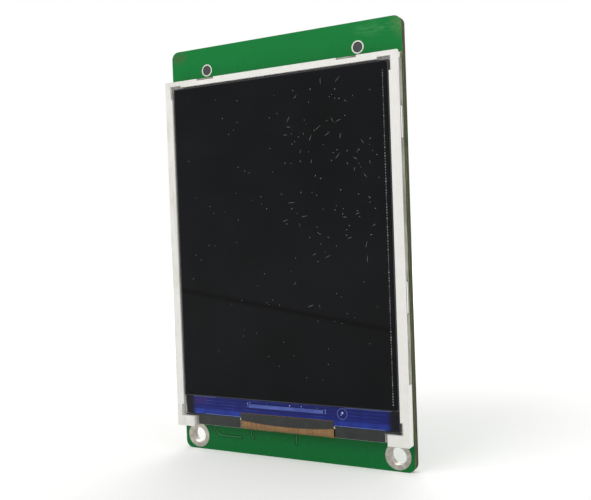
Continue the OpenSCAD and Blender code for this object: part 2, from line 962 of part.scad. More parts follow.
module transistor_leads() {
  mid = seat + chip_standoff + 0.95 * 0.45;
  color("silver") translate([sot_at[0], 0, sot_at[1]]) rotate([0, 90, 0]) for (p = sot_legs()) {
    gull_lead(p[0][0], 0.4, p[1] * sot_body[1] / 2, p[1] * sot_span / 2, mid);
  }
}

module chip_core(c, h) {
  translate([c[0], 0, c[1]]) rotate([0, -c[2], 0]) {
    on_board(h) square([chip_l - 2 * terminal_l, chip_w - 0.04], center = true);
  }
}

module capacitors() {
  color("peru") for (c = cap_at) {
    chip_core(c, cap_h);
  }
}

module resistors() {
  color("black") for (c = res_at) {
    chip_core(c, res_h);
  }
}

// Tinned end caps with the solder wedge at each end
module terminal_pair(c, h) {
  foot = board_t + copper_t;
  translate([c[0], 0, c[1]]) rotate([0, -c[2], 0]) for (s = [-1, 1]) {
    along_z(-chip_w / 2, chip_w) polygon([
      [s * (chip_l / 2 - terminal_l), foot],
      [s * (chip_l / 2 + 0.3), foot],
      [s * (chip_l / 2 + 0.1), foot + h * 0.35],
      [s * chip_l / 2, foot + h * 0.8],
      [s * chip_l / 2, seat + h + 0.02],
      [s * (chip_l / 2 - terminal_l), seat + h + 0.02]
    ]);
  }
}

module chip_terminals() {
  color("lightgray") {
    for (c = cap_at) {
      terminal_pair(c, cap_h);
    }
    for (c = res_at) {
      terminal_pair(c, res_h);
    }
  }
}

// ---------------------------------------------------------------- display

// Floor with side walls, a top wall and windows for the frame's catches
module steel_tray() {
  floor_lo = lcd_lo + 1.2;
  half = lcd_w / 2;
  wall_d = y_tray - tray_wall_front;
  color("darkgray") difference() {
    union() {
      plate(y_tray, tray_t) {
        area(-half, frame_lo, half, lcd_hi);
        both_sides() area(bond_w / 2 + 0.3, floor_lo, half - 0.3, frame_lo + eps);
      }
      both_sides() plate(y_tray, wall_d) area(half - tray_t, tray_side_lo, half, tray_side_hi);
      plate(y_tray, wall_d) area(2 - half, lcd_hi - tray_t, half - 2, lcd_hi);
      // Clips over the top edge of the frame
      both_sides() plate(y_tray, y_tray - clip_front) {
        area(clip_x - clip_w / 2 + 0.1, lcd_hi - tray_t, clip_x + clip_w / 2 - 0.1, lcd_hi);
      }
    }
    for (z = catch_z) {
      for (s = [-1, 1]) {
        translate([s * half - 0.5, tray_wall_front + 0.35, z - catch_h / 2]) cube([1, 0.8, catch_h]);
      }
    }
  }
}

// Moulded frame: rim, feet, glass pocket, light well and catches
module display_frame() {
  half = lcd_w / 2;
  inside = half - tray_t;
  shelf = y_filter;
  rear = y_floor;
  color("white") difference() {
    union() {
      // Rim that covers the edges of the tray
      plate(tray_wall_front, tray_wall_front - y_front) area(-half, frame_lo, half, lcd_hi);
      // Body inside the tray, and its full width below the tray's side walls
      plate(rear, rear - tray_wall_front + eps) {
        area(-inside, frame_lo, inside, lcd_hi - tray_t);
        area(-half, frame_lo, half, tray_side_lo - 0.1);
      }
      both_sides() {
        // Foot
        plate(rear, rear - y_front) area(half - foot_w, lcd_lo, half, frame_lo + eps);
        // Sill beside the flex
        plate(rear, rear - shelf) area(bond_w / 2 + 0.3, sill_lo, sill_half, frame_lo + eps);
      }
      // Catches in the tray's windows
      for (z = catch_z) {
        both_sides() plate(tray_wall_front + 1.1, 0.7) {
          area(inside - 0.5, z - catch_h / 2 + 0.2, half - 0.04, z + catch_h / 2 - 0.2);
        }
      }
    }
    // Glass pocket, open at the front, with relieved corners at the top
    plate(y_array + rear_polar_t, lcd_t) {
      area(-pocket_half, pocket_lo, pocket_half, pocket_hi);
      both_sides() {
        area(pocket_half - corner_cut_l, pocket_hi - 1, pocket_half + corner_cut, pocket_hi + corner_cut);
        area(pocket_half - 1, pocket_hi - corner_cut_l, pocket_half + corner_cut, pocket_hi);
        // Step beside the ledge of the glass
        area(pocket_half - 1, frame_lo, pocket_half + 0.5, frame_lo + 2.3);
      }
    }
    // Room for the tray's clips
    both_sides() plate(tray_wall_front + eps, lcd_t) {
      area(clip_x - clip_w / 2, lcd_hi - clip_cut, clip_x + clip_w / 2, lcd_hi + 1);
    }
    plate(shelf, lcd_t) area(-pocket_half, frame_lo, pocket_half, pocket_lo + eps);
    // Light well
    plate(rear + 1, lcd_t) area(-well_half, well_lo, well_half, well_hi);
  }
}

module well_film(y_rear, t, lo) {
  plate(y_rear, t) area(film_gap - well_half, lo, well_half - film_gap, well_hi - film_gap);
}

module reflector_film() {
  color("gainsboro") well_film(y_floor, film_t, well_lo + 0.1);
}

// Clear slab with a hollow in front of every light
module light_guide() {
  color("lightcyan") plate(y_reflector, guide_t) difference() {
    area(film_gap - well_half, guide_lo, well_half - film_gap, well_hi - film_gap);
    for (i = [0 : led_n - 1]) {
      translate([led_x(i), guide_lo - 0.6]) circle(0.9);
    }
  }
}

function led_x(i) = (i - (led_n - 1) / 2) * 2 * well_half / led_n;

module diffuser_film() {
  color("white") well_film(y_guide, film_t, guide_lo);
}

module prism_film_rear() {
  color("aliceblue") well_film(y_diffuser, film_t, guide_lo);
}

module prism_film_front() {
  color("lavender") well_film(y_prism_rear, film_t, guide_lo);
}

// Black adhesive frame between the light well and the glass
module rim_tape() {
  color("black") plate(y_prism_front, rear_polar_t) difference() {
    area(-glass_half, glass_lo, glass_half, glass_hi);
    area(-well_half, filter_lo, well_half, well_hi);
  }
}

module led_strip() {
  color("goldenrod") plate(y_guide, film_t) {
    area(0.4 - well_half, well_lo + 0.1, well_half - 0.4, well_lo + led_strip_h);
  }
}

module backlight_leds() {
  color("ivory") plate(y_reflector, guide_t) for (i = [0 : led_n - 1]) {
    area(led_x(i) - led_size[0] / 2, well_lo + 0.2, led_x(i) + led_size[0] / 2, well_lo + 0.2 + led_size[1]);
  }
}

module rear_polarizer() {
  color("gray") plate(y_prism_front, rear_polar_t) {
    area(film_gap - well_half, filter_lo + film_gap, well_half - film_gap, well_hi - film_gap);
  }
}

module array_glass() {
  color("darkslateblue") plate(y_array, glass_t) area(-glass_half, glass_lo, glass_half, glass_hi);
}

module filter_glass() {
  color("darkslategray") plate(y_filter, glass_t) area(-glass_half, filter_lo, glass_half, glass_hi);
}

module front_polarizer() {
  color("black") plate(y_polar, polar_t) {
    round_area(0.3 - glass_half, filter_lo + 0.2, glass_half - 0.3, glass_hi - 0.25, 0.3);
  }
}

driver_size = [16.2, 0.7, 0.3];
driver_z = glass_lo + 2.5;

module driver_chip() {
  color("steelblue") plate(y_filter, driver_size[2]) {
    translate([0, driver_z]) square([driver_size[0], driver_size[1]], center = true);
  }
}

// Varnish over the ledge, open round the driver chip and the bonded flex
module ledge_coating() {
  lo = glass_lo + 0.05;
  color("mediumblue") plate(y_filter, 0.08) difference() {
    area(0.3 - glass_half, lo, glass_half - 0.3, filter_lo - 0.05);
    translate([0, driver_z]) square([driver_size[0] + 0.1, driver_size[1] + 0.1], center = true);
    area(-bond_w / 2 - 0.05, lo - 1, bond_w / 2 + 0.05, glass_lo + bond_h + 0.05);
  }
}

// Black tapes: one on each sill and one over the bonded end of the flex
module light_shields() {
  t = 0.08;
  color("black") {
    both_sides() plate(y_filter, t) {
      area(bond_w / 2 + 0.3, sill_lo + 0.05, sill_half, glass_lo - 0.05);
      area(sill_half - eps, frame_lo + 0.05, pocket_half - 0.1, glass_lo - 0.05);
    }
    // Its lower edge is bowed
    plate(y_filter - flex_t, t) polygon(concat(
      [[-bond_w / 2, glass_lo + bond_h - 0.05], [bond_w / 2, glass_lo + bond_h - 0.05]],
      [for (i = [0 : 16]) [bond_w / 2 * (1 - i / 8), bend_z + 0.95 - 0.55 * (1 - pow(1 - i / 8, 2))]]
    ));
  }
}

// Bond, half turn round the bottom edge, run behind the tray, and tail through the notch
module display_flex() {
  turn_x = board_left + 0.55 + flex_t / 2;
  arch_y = slot_y + arch_lift;
  arch_r = (arch_y - run_y) / 2;
  arch_x = turn_x + arch_r;
  mouth_x = notch_floor + 0.1;
  ease = (mouth_x - arch_x) / 2;
  color("chocolate") {
    along_x(-bond_w / 2, bond_w) polygon(ribbon(concat(
      [[bend_y, glass_lo + bond_h]],
      arc([(bend_y + run_y) / 2, bend_z], bend_r, 180, 360, 24),
      [[run_y, run_hi]]
    ), flex_t));
    plate(run_y + flex_t / 2, flex_t) area(arch_x + 0.5, tail_z - tail_w / 2, 0, tail_z + tail_w / 2);
    along_z(tail_z - tail_w / 2, tail_w) polygon(ribbon(concat(
      [[0, run_y]],
      arc([arch_x, run_y + arch_r], arch_r, 270, 90, 24),
      [
        for (i = [1 : 8]) [
          arch_x + 2 * ease * i / 8,
          arch_y - arch_lift * (1 - cos(180 * i / 8)) / 2
        ]
      ],
      [[fpc_x + fpc_slot_d - 0.1, slot_y]]
    ), flex_t));
  }
}

module flex_stiffener() {
  color("saddlebrown") plate(slot_y + flex_t / 2 + stiffener_t, stiffener_t) {
    area(notch_floor + 0.15, tail_z - tail_w / 2, fpc_x + fpc_slot_d - 0.1, tail_z + tail_w / 2);
  }
}

// Adhesive strips that hold the display on the board
module mounting_tape() {
  color("whitesmoke") plate(0, tape_t) {
    both_sides() area(lcd_w / 2 - 11, run_hi + 1.5, lcd_w / 2 - 3, lcd_hi - 3);
  }
}

circuit_board();
hole_plating();
rear_traces();
front_traces();
part_lands();
header_body();
header_pins();
header_solder();
socket_left();
socket_left_contacts();
socket_left_tabs();
socket_right();
socket_right_contacts();
socket_right_tabs();
flex_connector();
flex_connector_contacts();
flex_connector_anchors();
flex_latch();
touch_controller();
touch_controller_leads();
transistor();
transistor_leads();
capacitors();
resistors();
chip_terminals();
steel_tray();
display_frame();
reflector_film();
light_guide();
diffuser_film();
prism_film_rear();
prism_film_front();
rim_tape();
led_strip();
backlight_leds();
rear_polarizer();
array_glass();
filter_glass();
front_polarizer();
driver_chip();
ledge_coating();
light_shields();
display_flex();
flex_stiffener();
mounting_tape();
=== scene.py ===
"""Looks of a colour display module: a framed liquid crystal panel on a green circuit board.

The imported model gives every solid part. This script dresses those parts in procedural finishes, adds the
printed, soldered and worn details that are too fine for solids, and sets up a plain studio.
Lengths are written in millimetres in the module's frame (X right, Z up, the screen looks toward -Y) and
become metres where a mesh is made.
"""

from __future__ import annotations

import logging
import math
from dataclasses import dataclass, field
from enum import Enum
from typing import Any, Callable, Iterable, Sequence

import bmesh
import bpy
from mathutils import Euler, Matrix, Vector

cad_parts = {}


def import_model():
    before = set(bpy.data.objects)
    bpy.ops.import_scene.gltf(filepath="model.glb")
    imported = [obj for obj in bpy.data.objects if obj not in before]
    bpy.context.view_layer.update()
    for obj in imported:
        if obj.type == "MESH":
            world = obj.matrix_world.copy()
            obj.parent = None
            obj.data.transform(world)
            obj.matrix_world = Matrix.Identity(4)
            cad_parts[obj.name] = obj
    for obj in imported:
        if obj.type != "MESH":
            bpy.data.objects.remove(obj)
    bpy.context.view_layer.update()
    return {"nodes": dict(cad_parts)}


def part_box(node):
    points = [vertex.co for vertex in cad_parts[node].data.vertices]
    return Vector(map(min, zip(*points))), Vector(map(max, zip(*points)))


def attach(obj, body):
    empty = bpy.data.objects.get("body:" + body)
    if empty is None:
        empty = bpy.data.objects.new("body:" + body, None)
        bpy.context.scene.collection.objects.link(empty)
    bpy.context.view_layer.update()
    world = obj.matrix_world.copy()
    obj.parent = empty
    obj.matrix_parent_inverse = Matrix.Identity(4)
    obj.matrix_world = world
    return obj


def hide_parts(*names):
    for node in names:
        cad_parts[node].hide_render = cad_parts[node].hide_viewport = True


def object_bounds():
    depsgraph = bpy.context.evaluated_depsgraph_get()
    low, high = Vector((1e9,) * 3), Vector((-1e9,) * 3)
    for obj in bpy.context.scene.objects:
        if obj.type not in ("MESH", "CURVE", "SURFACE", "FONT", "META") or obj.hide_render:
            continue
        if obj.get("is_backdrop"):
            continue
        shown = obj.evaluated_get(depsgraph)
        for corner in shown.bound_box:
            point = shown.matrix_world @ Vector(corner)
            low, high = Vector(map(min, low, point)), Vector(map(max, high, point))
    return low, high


LOG = logging.getLogger("display_module")
MM = 0.001
MODULE = "module"  # body that every added piece rides on; the latch carries only its own part
NOISE_ROUGHNESS = 0.55
NOISE_LOW = 0.3  # most of a noise lies between these two values
NOISE_HIGH = 0.7
STRIPE_BLUR = 0.06  # soft edge of a stripe, as a part of its pitch
MERGE_DISTANCE = 1e-7
FLAT_ANGLE = 0.01
FACING = 0.9  # least share of a normal along Y on a face that looks outward
DIGIT_TO_FONT = 1.35  # font size for a digit one unit high
DIGIT_CURVE_STEPS = 3

Point = tuple[float, float]
Outline = list[Point]
Tree = bpy.types.NodeTree
Socket = bpy.types.NodeSocket


class Face(Enum):
    """Faces of the circuit board, with the sign of Y that points away from each."""

    FRONT = -1
    REAR = 1


# ---------------------------------------------------------------- colours and nodes


def linear(code: str) -> tuple[float, float, float, float]:
    """Turns an sRGB hex code into a linear colour.

    Args:
        code: six hex digits.

    Returns:
        Red, green, blue and an alpha of one.
    """
    parts = [int(code[i : i + 2], 16) / 255 for i in (0, 2, 4)]
    low = [c / 12.92 if c <= 0.04045 else ((c + 0.055) / 1.055) ** 2.4 for c in parts]
    return (low[0], low[1], low[2], 1.0)


def add_node(
    tree: Tree,
    kind: str,
    settings: dict[str, Any] | None = None,
    inputs: dict[str, Any] | None = None,
    output: str | None = None,
) -> Socket | None:
    """Adds one node, sets it up and links it.

    Args:
        tree: tree that gets the node.
        kind: type name of the node.
        settings: values of the node's own properties.
        inputs: a socket to link or a plain value, by the input's identifier or name.
        output: identifier or name of the output to give back; the first one if left out.

    Returns:
        The chosen output socket, or None for a node without outputs.
    """
    node = tree.nodes.new(kind)
    for name, value in (settings or {}).items():
        setattr(node, name, value)
    for name, value in (inputs or {}).items():
        exact = [s for s in node.inputs if s.identifier == name]
        target = (exact or [s for s in node.inputs if s.name == name])[0]
        if isinstance(value, bpy.types.NodeSocket):
            tree.links.new(value, target)
        else:
            target.default_value = value
    if not node.outputs:
        return None
    if output is None:
        return node.outputs[0]
    exact = [s for s in node.outputs if s.identifier == output]
    return (exact or [s for s in node.outputs if s.name == output])[0]


def per_mm(size: float) -> float:
    """Texture scale that gives a pattern features of this size in millimetres."""
    return 1.0 / (size * MM)


def object_coords(tree: Tree) -> Socket:
    """Gives the coordinates of the piece itself, in metres."""
    return add_node(tree, "ShaderNodeTexCoord", output="Object")


def along(tree: Tree, axis: str) -> Socket:
    """Gives one coordinate of the piece, by the name X, Y or Z."""
    return add_node(tree, "ShaderNodeSeparateXYZ", inputs={"Vector": object_coords(tree)}, output=axis)


def cloudy(
    tree: Tree,
    size: float,
    low: float,
    high: float,
    detail: float = 3.0,
    stretch: Sequence[float] = (1, 1, 1),
) -> Socket:
    """Uneven pattern between two values.

    Args:
        tree: tree that gets the pattern.
        size: size of its patches in millimetres.
        low: value where the pattern is weakest.
        high: value where it is strongest.
        detail: octaves of finer noise.
        stretch: how many times denser it is along X, Y and Z.

    Returns:
        The value.
    """
    place = add_node(tree, "ShaderNodeMapping", inputs={"Vector": object_coords(tree), "Scale": stretch})
    pattern = {"Vector": place, "Scale": per_mm(size), "Detail": detail, "Roughness": NOISE_ROUGHNESS}
    noise = add_node(tree, "ShaderNodeTexNoise", inputs=pattern, output="Fac")
    span = {"Value": noise, "From Min": NOISE_LOW, "From Max": NOISE_HIGH, "To Min": low, "To Max": high}
    return add_node(tree, "ShaderNodeMapRange", inputs=span)


def band(
    tree: Tree, value: Socket, start: float, end: float, before: float = 0.0, after: float = 1.0
) -> Socket:
    """Smooth step of a value given in metres, between two places in millimetres.

    Args:
        tree: tree that gets the step.
        value: coordinate to read.
        start: place where the step begins.
        end: place where it ends.
        before: result ahead of the step.
        after: result past it.

    Returns:
        The stepped value.
    """
    limits = {"Value": value, "From Min": start * MM, "From Max": end * MM, "To Min": before, "To Max": after}
    return add_node(tree, "ShaderNodeMapRange", {"interpolation_type": "SMOOTHSTEP"}, limits)


def product(tree: Tree, *factors: Socket | float) -> Socket:
    """Multiplies masks together.

    Args:
        tree: tree that gets the result.
        factors: masks or plain values.

    Returns:
        Their product.
    """
    total = factors[0]
    for factor in factors[1:]:
        pair = {"Value": total, "Value_001": factor}
        total = add_node(tree, "ShaderNodeMath", {"operation": "MULTIPLY"}, pair)
    return total


def either(tree: Tree, *masks: Socket) -> Socket:
    """Joins masks by their larger value.

    Args:
        tree: tree that gets the result.
        masks: masks to join.

    Returns:
        The joined mask.
    """
    total = masks[0]
    for mask in masks[1:]:
        pair = {"Value": total, "Value_001": mask}
        total = add_node(tree, "ShaderNodeMath", {"operation": "MAXIMUM"}, pair)
    return total


def blot(tree: Tree, centre: Sequence[float], radius: float, squeeze: Sequence[float] = (1, 1, 1)) -> Socket:
    """Round mask that fades out from a centre.

    Args:
        tree: tree that gets the mask.
        centre: middle of the blot in millimetres.
        radius: reach of the blot in millimetres.
        squeeze: factors along X, Y and Z; more than one makes it shorter that way.

    Returns:
        One at the centre and nothing from the radius outward.
    """
    back = {"Vector": object_coords(tree), "Vector_001": [-c * MM for c in centre]}
    moved = add_node(tree, "ShaderNodeVectorMath", {"operation": "ADD"}, back)
    oval = {"Vector": moved, "Vector_001": squeeze}
    shaped = add_node(tree, "ShaderNodeVectorMath", {"operation": "MULTIPLY"}, oval)
    length = add_node(tree, "ShaderNodeVectorMath", {"operation": "LENGTH"}, {"Vector": shaped}, "Value")
    return band(tree, length, 0, radius, 1.0, 0.0)


def stripes(tree: Tree, axis: str, pitch: float, share: float) -> Socket:
    """Even stripes across one axis.

    Args:
        tree: tree that gets the stripes.
        axis: X, Y or Z, the direction that crosses them.
        pitch: distance between stripes in millimetres.
        share: part of the pitch that a stripe takes.

    Returns:
        One on a stripe and nothing between stripes.
    """
    count = {"Value": along(tree, axis), "Value_001": per_mm(pitch)}
    turns = add_node(tree, "ShaderNodeMath", {"operation": "MULTIPLY"}, count)
    phase = add_node(tree, "ShaderNodeMath", {"operation": "FRACT"}, {"Value": turns})
    middle = add_node(tree, "ShaderNodeMath", {"operation": "SUBTRACT"}, {"Value": phase, "Value_001": 0.5})
    away = add_node(tree, "ShaderNodeMath", {"operation": "ABSOLUTE"}, {"Value": middle})
    inner, outer = share / 2 - STRIPE_BLUR, share / 2 + STRIPE_BLUR
    fade = {"Value": away, "From Min": inner, "From Max": outer, "To Min": 1.0, "To Max": 0.0}
    return add_node(tree, "ShaderNodeMapRange", inputs=fade)


def mixed(tree: Tree, mask: Socket | float, under: Socket | str, over: Socket | str) -> Socket:
    """Lays one colour over another by a mask.

    Args:
        tree: tree that gets the result.
        mask: where the upper colour shows.
        under: lower colour, a socket or a hex code.
        over: upper colour, a socket or a hex code.

    Returns:
        The mixed colour.
    """
    a, b = (linear(c) if isinstance(c, str) else c for c in (under, over))
    layers = {"Factor_Float": mask, "A_Color": a, "B_Color": b}
    return add_node(tree, "ShaderNodeMix", {"data_type": "RGBA"}, layers, "Result_Color")


def relief(tree: Tree, height: Socket, depth: float, below: Socket | None = None) -> Socket:
    """Turns a height pattern into a surface normal.

    Args:
        tree: tree that gets the relief.
        height: pattern between nothing and one.
        depth: real depth of the pattern in millimetres.
        below: a normal that it lies on.

    Returns:
        The bent normal.
    """
    inputs: dict[str, Any] = {"Height": height, "Distance": depth * MM, "Strength": 1.0}
    if below is not None:
        inputs["Normal"] = below
    return add_node(tree, "ShaderNodeBump", inputs=inputs)


# ---------------------------------------------------------------- finishes


@dataclass(frozen=True)
class Finish:
    """A surface finish. Constants sit on the shader's own sockets, patterns come from dress()."""

    name: str
    colour: str
    roughness: float = 0.5
    metallic: float = 0.0
    ior: float = 1.5
    specular: float = 0.5

    def build(self) -> bpy.types.Material:
        """Makes the material.

        Returns:
            A new material with its patterns linked.
        """
        material = bpy.data.materials.new(self.name)
        material.use_nodes = True
        tree = material.node_tree
        tree.nodes.clear()
        sockets: dict[str, Any] = {
            "Base Color": linear(self.colour),
            "Roughness": self.roughness,
            "Metallic": self.metallic,
            "Specular IOR Level": self.specular,
        }
        if self.metallic < 0.5:
            sockets["IOR"] = self.ior
        sockets.update(self.dress(tree))
        shader = add_node(tree, "ShaderNodeBsdfPrincipled", inputs=sockets)
        add_node(tree, "ShaderNodeOutputMaterial", inputs={"Surface": shader})
        material.diffuse_color = linear(self.colour)
        return material

    def dress(self, tree: Tree) -> dict[str, Any]:
        """Gives the shader inputs that carry this finish's patterns."""
        return {}


@dataclass(frozen=True)
class SolderMask(Finish):
    """Printed and cured green solder mask on glass-epoxy laminate: glossy with a faint weave. The routed
    edges show the bare brown laminate in layers. The weave is about as wide as the yarns of a glass cloth."""

    front_low: str = "046a2f"
    rear: str = "017535"
    cloud: str = "01602b"
    edge: str = "4f5138"
    edge_light: str = "8d7d55"
    edge_dark: str = "262b1e"
    grime: str = "4d5a3c"
    worn: str = "6d8a5c"
    scuff: str = "58a468"
    grime_place: tuple[float, float, float] = (-23.3, 0, 77.4)
    worn_place: tuple[float, float, float] = (25.2, 0, 77.8)
    scuff_place: tuple[float, float, float] = (19.6, 0, 77.0)
    palest_height: float = 74.0
    weave: float = 0.5
    weave_depth: float = 0.0012
    ripple_depth: float = 0.006
    layer: float = 0.2
    edge_roughness: float = 0.8

    def faces(self, tree: Tree) -> tuple[Socket, Socket]:
        """Tells the board's faces apart by their direction.

        Args:
            tree: tree of the material.

        Returns:
            Masks of the front and of the rear face.
        """
        normal = add_node(tree, "ShaderNodeTexCoord", output="Normal")
        y = add_node(tree, "ShaderNodeSeparateXYZ", inputs={"Vector": normal}, output="Y")
        before = {"Value": y, "Value_001": Face.FRONT.value / 2}
        behind = {"Value": y, "Value_001": Face.REAR.value / 2}
        front = add_node(tree, "ShaderNodeMath", {"operation": "LESS_THAN"}, before)
        rear = add_node(tree, "ShaderNodeMath", {"operation": "GREATER_THAN"}, behind)
        return front, rear

    def scuffs(self, tree: Tree, front: Socket) -> Socket:
        """Light scuffs near the top of the front face.

        Args:
            tree: tree of the material.
            front: mask of the front face.

        Returns:
            Their mask.
        """
        streaks = cloudy(tree, 0.5, -0.25, 0.55, 4.0, (0.22, 1, 1.5))
        marks = product(tree, blot(tree, self.scuff_place, 5.0, (0.8, 1, 2.6)), streaks, front)
        return add_node(tree, "ShaderNodeClamp", inputs={"Value": marks})

    def printed(self, tree: Tree, front: Socket, rear: Socket, scuffs: Socket) -> Socket:
        """Colours of the mask, with grime at one top corner and wear at the other.

        Args:
            tree: tree of the material.
            front: mask of the front face.
            rear: mask of the rear face.
            scuffs: mask of the scuffs.

        Returns:
            The colour.
        """
        face = mixed(tree, band(tree, along(tree, "Z"), 0, self.palest_height), self.front_low, self.colour)
        colour = mixed(tree, rear, face, self.rear)
        colour = mixed(tree, cloudy(tree, 9, 0.0, 0.09), colour, self.cloud)
        grime = blot(tree, self.grime_place, 2.3, (0.8, 1, 1.2))
        colour = mixed(tree, product(tree, grime, cloudy(tree, 0.7, 0.1, 1.0), front), colour, self.grime)
        worn = blot(tree, self.worn_place, 3.4, (1.1, 1, 0.8))
        colour = mixed(tree, product(tree, worn, cloudy(tree, 0.5, 0.1, 0.75), front), colour, self.worn)
        return mixed(tree, scuffs, colour, self.scuff)

    def routed(self, tree: Tree) -> Socket:
        """Colours of the bare laminate at the routed edges.

        Args:
            tree: tree of the material.

        Returns:
            The colour.
        """
        layers = product(tree, stripes(tree, "Y", self.layer, 0.5), 0.35)
        colour = mixed(tree, layers, self.edge, self.edge_dark)
        colour = mixed(tree, cloudy(tree, 1.6, 0.0, 0.65, 4.0), colour, self.edge_dark)
        pale = product(tree, cloudy(tree, 3.5, -0.3, 0.8, 4.0), band(tree, along(tree, "Y"), 0.5, 0.1))
        return mixed(tree, pale, colour, self.edge_light)

    def dress(self, tree: Tree) -> dict[str, Any]:
        """Mask on both faces, laminate at the edges, weave, and gloss that the scuffs break.

        Args:
            tree: tree of the material.

        Returns:
            Shader inputs by name.
        """
        front, rear = self.faces(tree)
        scuffs = self.scuffs(tree, front)
        masked = either(tree, rear, front)
        colour = mixed(tree, masked, self.routed(tree), self.printed(tree, front, rear, scuffs))
        woven = product(tree, stripes(tree, "X", self.weave, 0.5), stripes(tree, "Z", self.weave, 0.5))
        ripple = relief(tree, cloudy(tree, 1.2, 0.0, 1.0), self.ripple_depth)
        normal = relief(tree, woven, self.weave_depth, ripple)
        broken = {"Value": cloudy(tree, 4, 0.22, 0.34), "Value_001": product(tree, scuffs, 0.3)}
        gloss = add_node(tree, "ShaderNodeMath", {"operation": "ADD"}, broken)
        by_face = {"Factor_Float": masked, "A_Float": self.edge_roughness, "B_Float": gloss}
        rough = add_node(tree, "ShaderNodeMix", {"data_type": "FLOAT"}, by_face, "Result_Float")
        return {"Base Color": colour, "Roughness": rough, "Normal": normal}


@dataclass(frozen=True)
class MaskedCopper(Finish):
    """Copper conductor under solder mask: the metal below makes the green lighter and slightly warm."""

    dull: str = "2f9158"

    def dress(self, tree: Tree) -> dict[str, Any]:
        """Uneven mask thickness over the conductor."""
        colour = mixed(tree, cloudy(tree, 3, 0.0, 0.8), self.colour, self.dull)
        return {"Base Color": colour, "Normal": relief(tree, cloudy(tree, 0.6, 0, 1), 0.004)}


@dataclass(frozen=True)
class TinPlate(Finish):
    """Hot-air levelled tin: bright metal with shallow dimples and dull grey-brown patches."""

    dull: str = "86817a"
    dimple: float = 0.28
    depth: float = 0.012

    def dress(self, tree: Tree) -> dict[str, Any]:
        """Dimples, dull patches and uneven gloss.

        Args:
            tree: tree of the material.

        Returns:
            Shader inputs by name.
        """
        colour = mixed(tree, cloudy(tree, 0.8, 0.0, 0.75, 4.0), self.colour, self.dull)
        bumps = relief(tree, cloudy(tree, self.dimple, 0, 1, 2.0), self.depth)
        fine = relief(tree, cloudy(tree, self.dimple / 4, 0, 1, 2.0), self.depth / 6, bumps)
        rough = cloudy(tree, 0.6, self.roughness, self.roughness + 0.22)
        return {"Base Color": colour, "Roughness": rough, "Normal": fine}


@dataclass(frozen=True)
class GoldFlash(Finish):
    """Thin gold over nickel on drawn brass pins: warm pale metal with lengthwise draw lines."""

    bare: str = "a59a86"
    draw_line: float = 0.05

    def dress(self, tree: Tree) -> dict[str, Any]:
        """Worn patches and draw lines along the pin.

        Args:
            tree: tree of the material.

        Returns:
            Shader inputs by name.
        """
        colour = mixed(tree, cloudy(tree, 1.1, 0.0, 0.9, 3.0), self.colour, self.bare)
        lines = relief(tree, cloudy(tree, self.draw_line, 0, 1, 2.0, (1, 0.05, 1)), 0.002)
        return {"Base Color": colour, "Roughness": cloudy(tree, 0.5, 0.2, 0.38), "Normal": lines}


@dataclass(frozen=True)
class MouldedPlastic(Finish):
    """Injection-moulded nylon, polycarbonate or LCP: satin skin with a spark-eroded grain, faint flow clouds
    and edges that the mould leaves slightly round."""

    flow: str = "808080"
    flow_share: float = 0.5
    grain: float = 0.12
    grain_depth: float = 0.0025
    round_edge: float = 0.06

    def dress(self, tree: Tree) -> dict[str, Any]:
        """Flow clouds, grain and round edges.

        Args:
            tree: tree of the material.

        Returns:
            Shader inputs by name.
        """
        colour = mixed(tree, cloudy(tree, 2.4, 0.0, self.flow_share), self.colour, self.flow)
        edge = add_node(tree, "ShaderNodeBevel", {"samples": 4}, {"Radius": self.round_edge * MM})
        grain = relief(tree, cloudy(tree, self.grain, 0, 1, 1.0), self.grain_depth, edge)
        rough = cloudy(tree, 0.7, self.roughness - 0.05, self.roughness + 0.07)
        return {"Base Color": colour, "Roughness": rough, "Normal": grain}


@dataclass(frozen=True)
class FramePolycarbonate(MouldedPlastic):
    """White reflective polycarbonate of a backlight frame, a little grey with handling low on its left."""

    smudge: str = "c9c8bd"

    def dress(self, tree: Tree) -> dict[str, Any]:
        """Moulded skin with hand smudges.

        Args:
            tree: tree of the material.

        Returns:
            Shader inputs by name.
        """
        parts = super().dress(tree)
        smears = cloudy(tree, 1.8, -0.3, 0.5, 4.0, (1, 1, 0.4))
        marks = product(tree, smears, band(tree, along(tree, "X"), -15, -24))
        marks = add_node(tree, "ShaderNodeClamp", inputs={"Value": marks})
        parts["Base Color"] = mixed(tree, marks, parts["Base Color"], self.smudge)
        return parts


@dataclass(frozen=True)
class EpoxyPackage(Finish):
    """Transfer-moulded epoxy of a chip package: matt charcoal with pale filler specks."""

    speck: str = "7a7d80"
    filler: float = 0.09

    def dress(self, tree: Tree) -> dict[str, Any]:
        """Filler specks and an eroded skin.

        Args:
            tree: tree of the material.

        Returns:
            Shader inputs by name.
        """
        specks = cloudy(tree, self.filler, -0.9, 0.7, 2.0)
        specks = add_node(tree, "ShaderNodeClamp", inputs={"Value": specks})
        colour = mixed(tree, specks, self.colour, self.speck)
        return {"Base Color": colour, "Normal": relief(tree, cloudy(tree, self.filler, 0, 1), 0.004)}


@dataclass(frozen=True)
class FiredCeramic(Finish):
    """Sintered ceramic or glazed glass body of a chip part: smooth, with cloudy colour."""

    cloud: str = "7d6443"

    def dress(self, tree: Tree) -> dict[str, Any]:
        """Cloudy colour."""
        return {"Base Color": mixed(tree, cloudy(tree, 0.5, 0.0, 0.6), self.colour, self.cloud)}


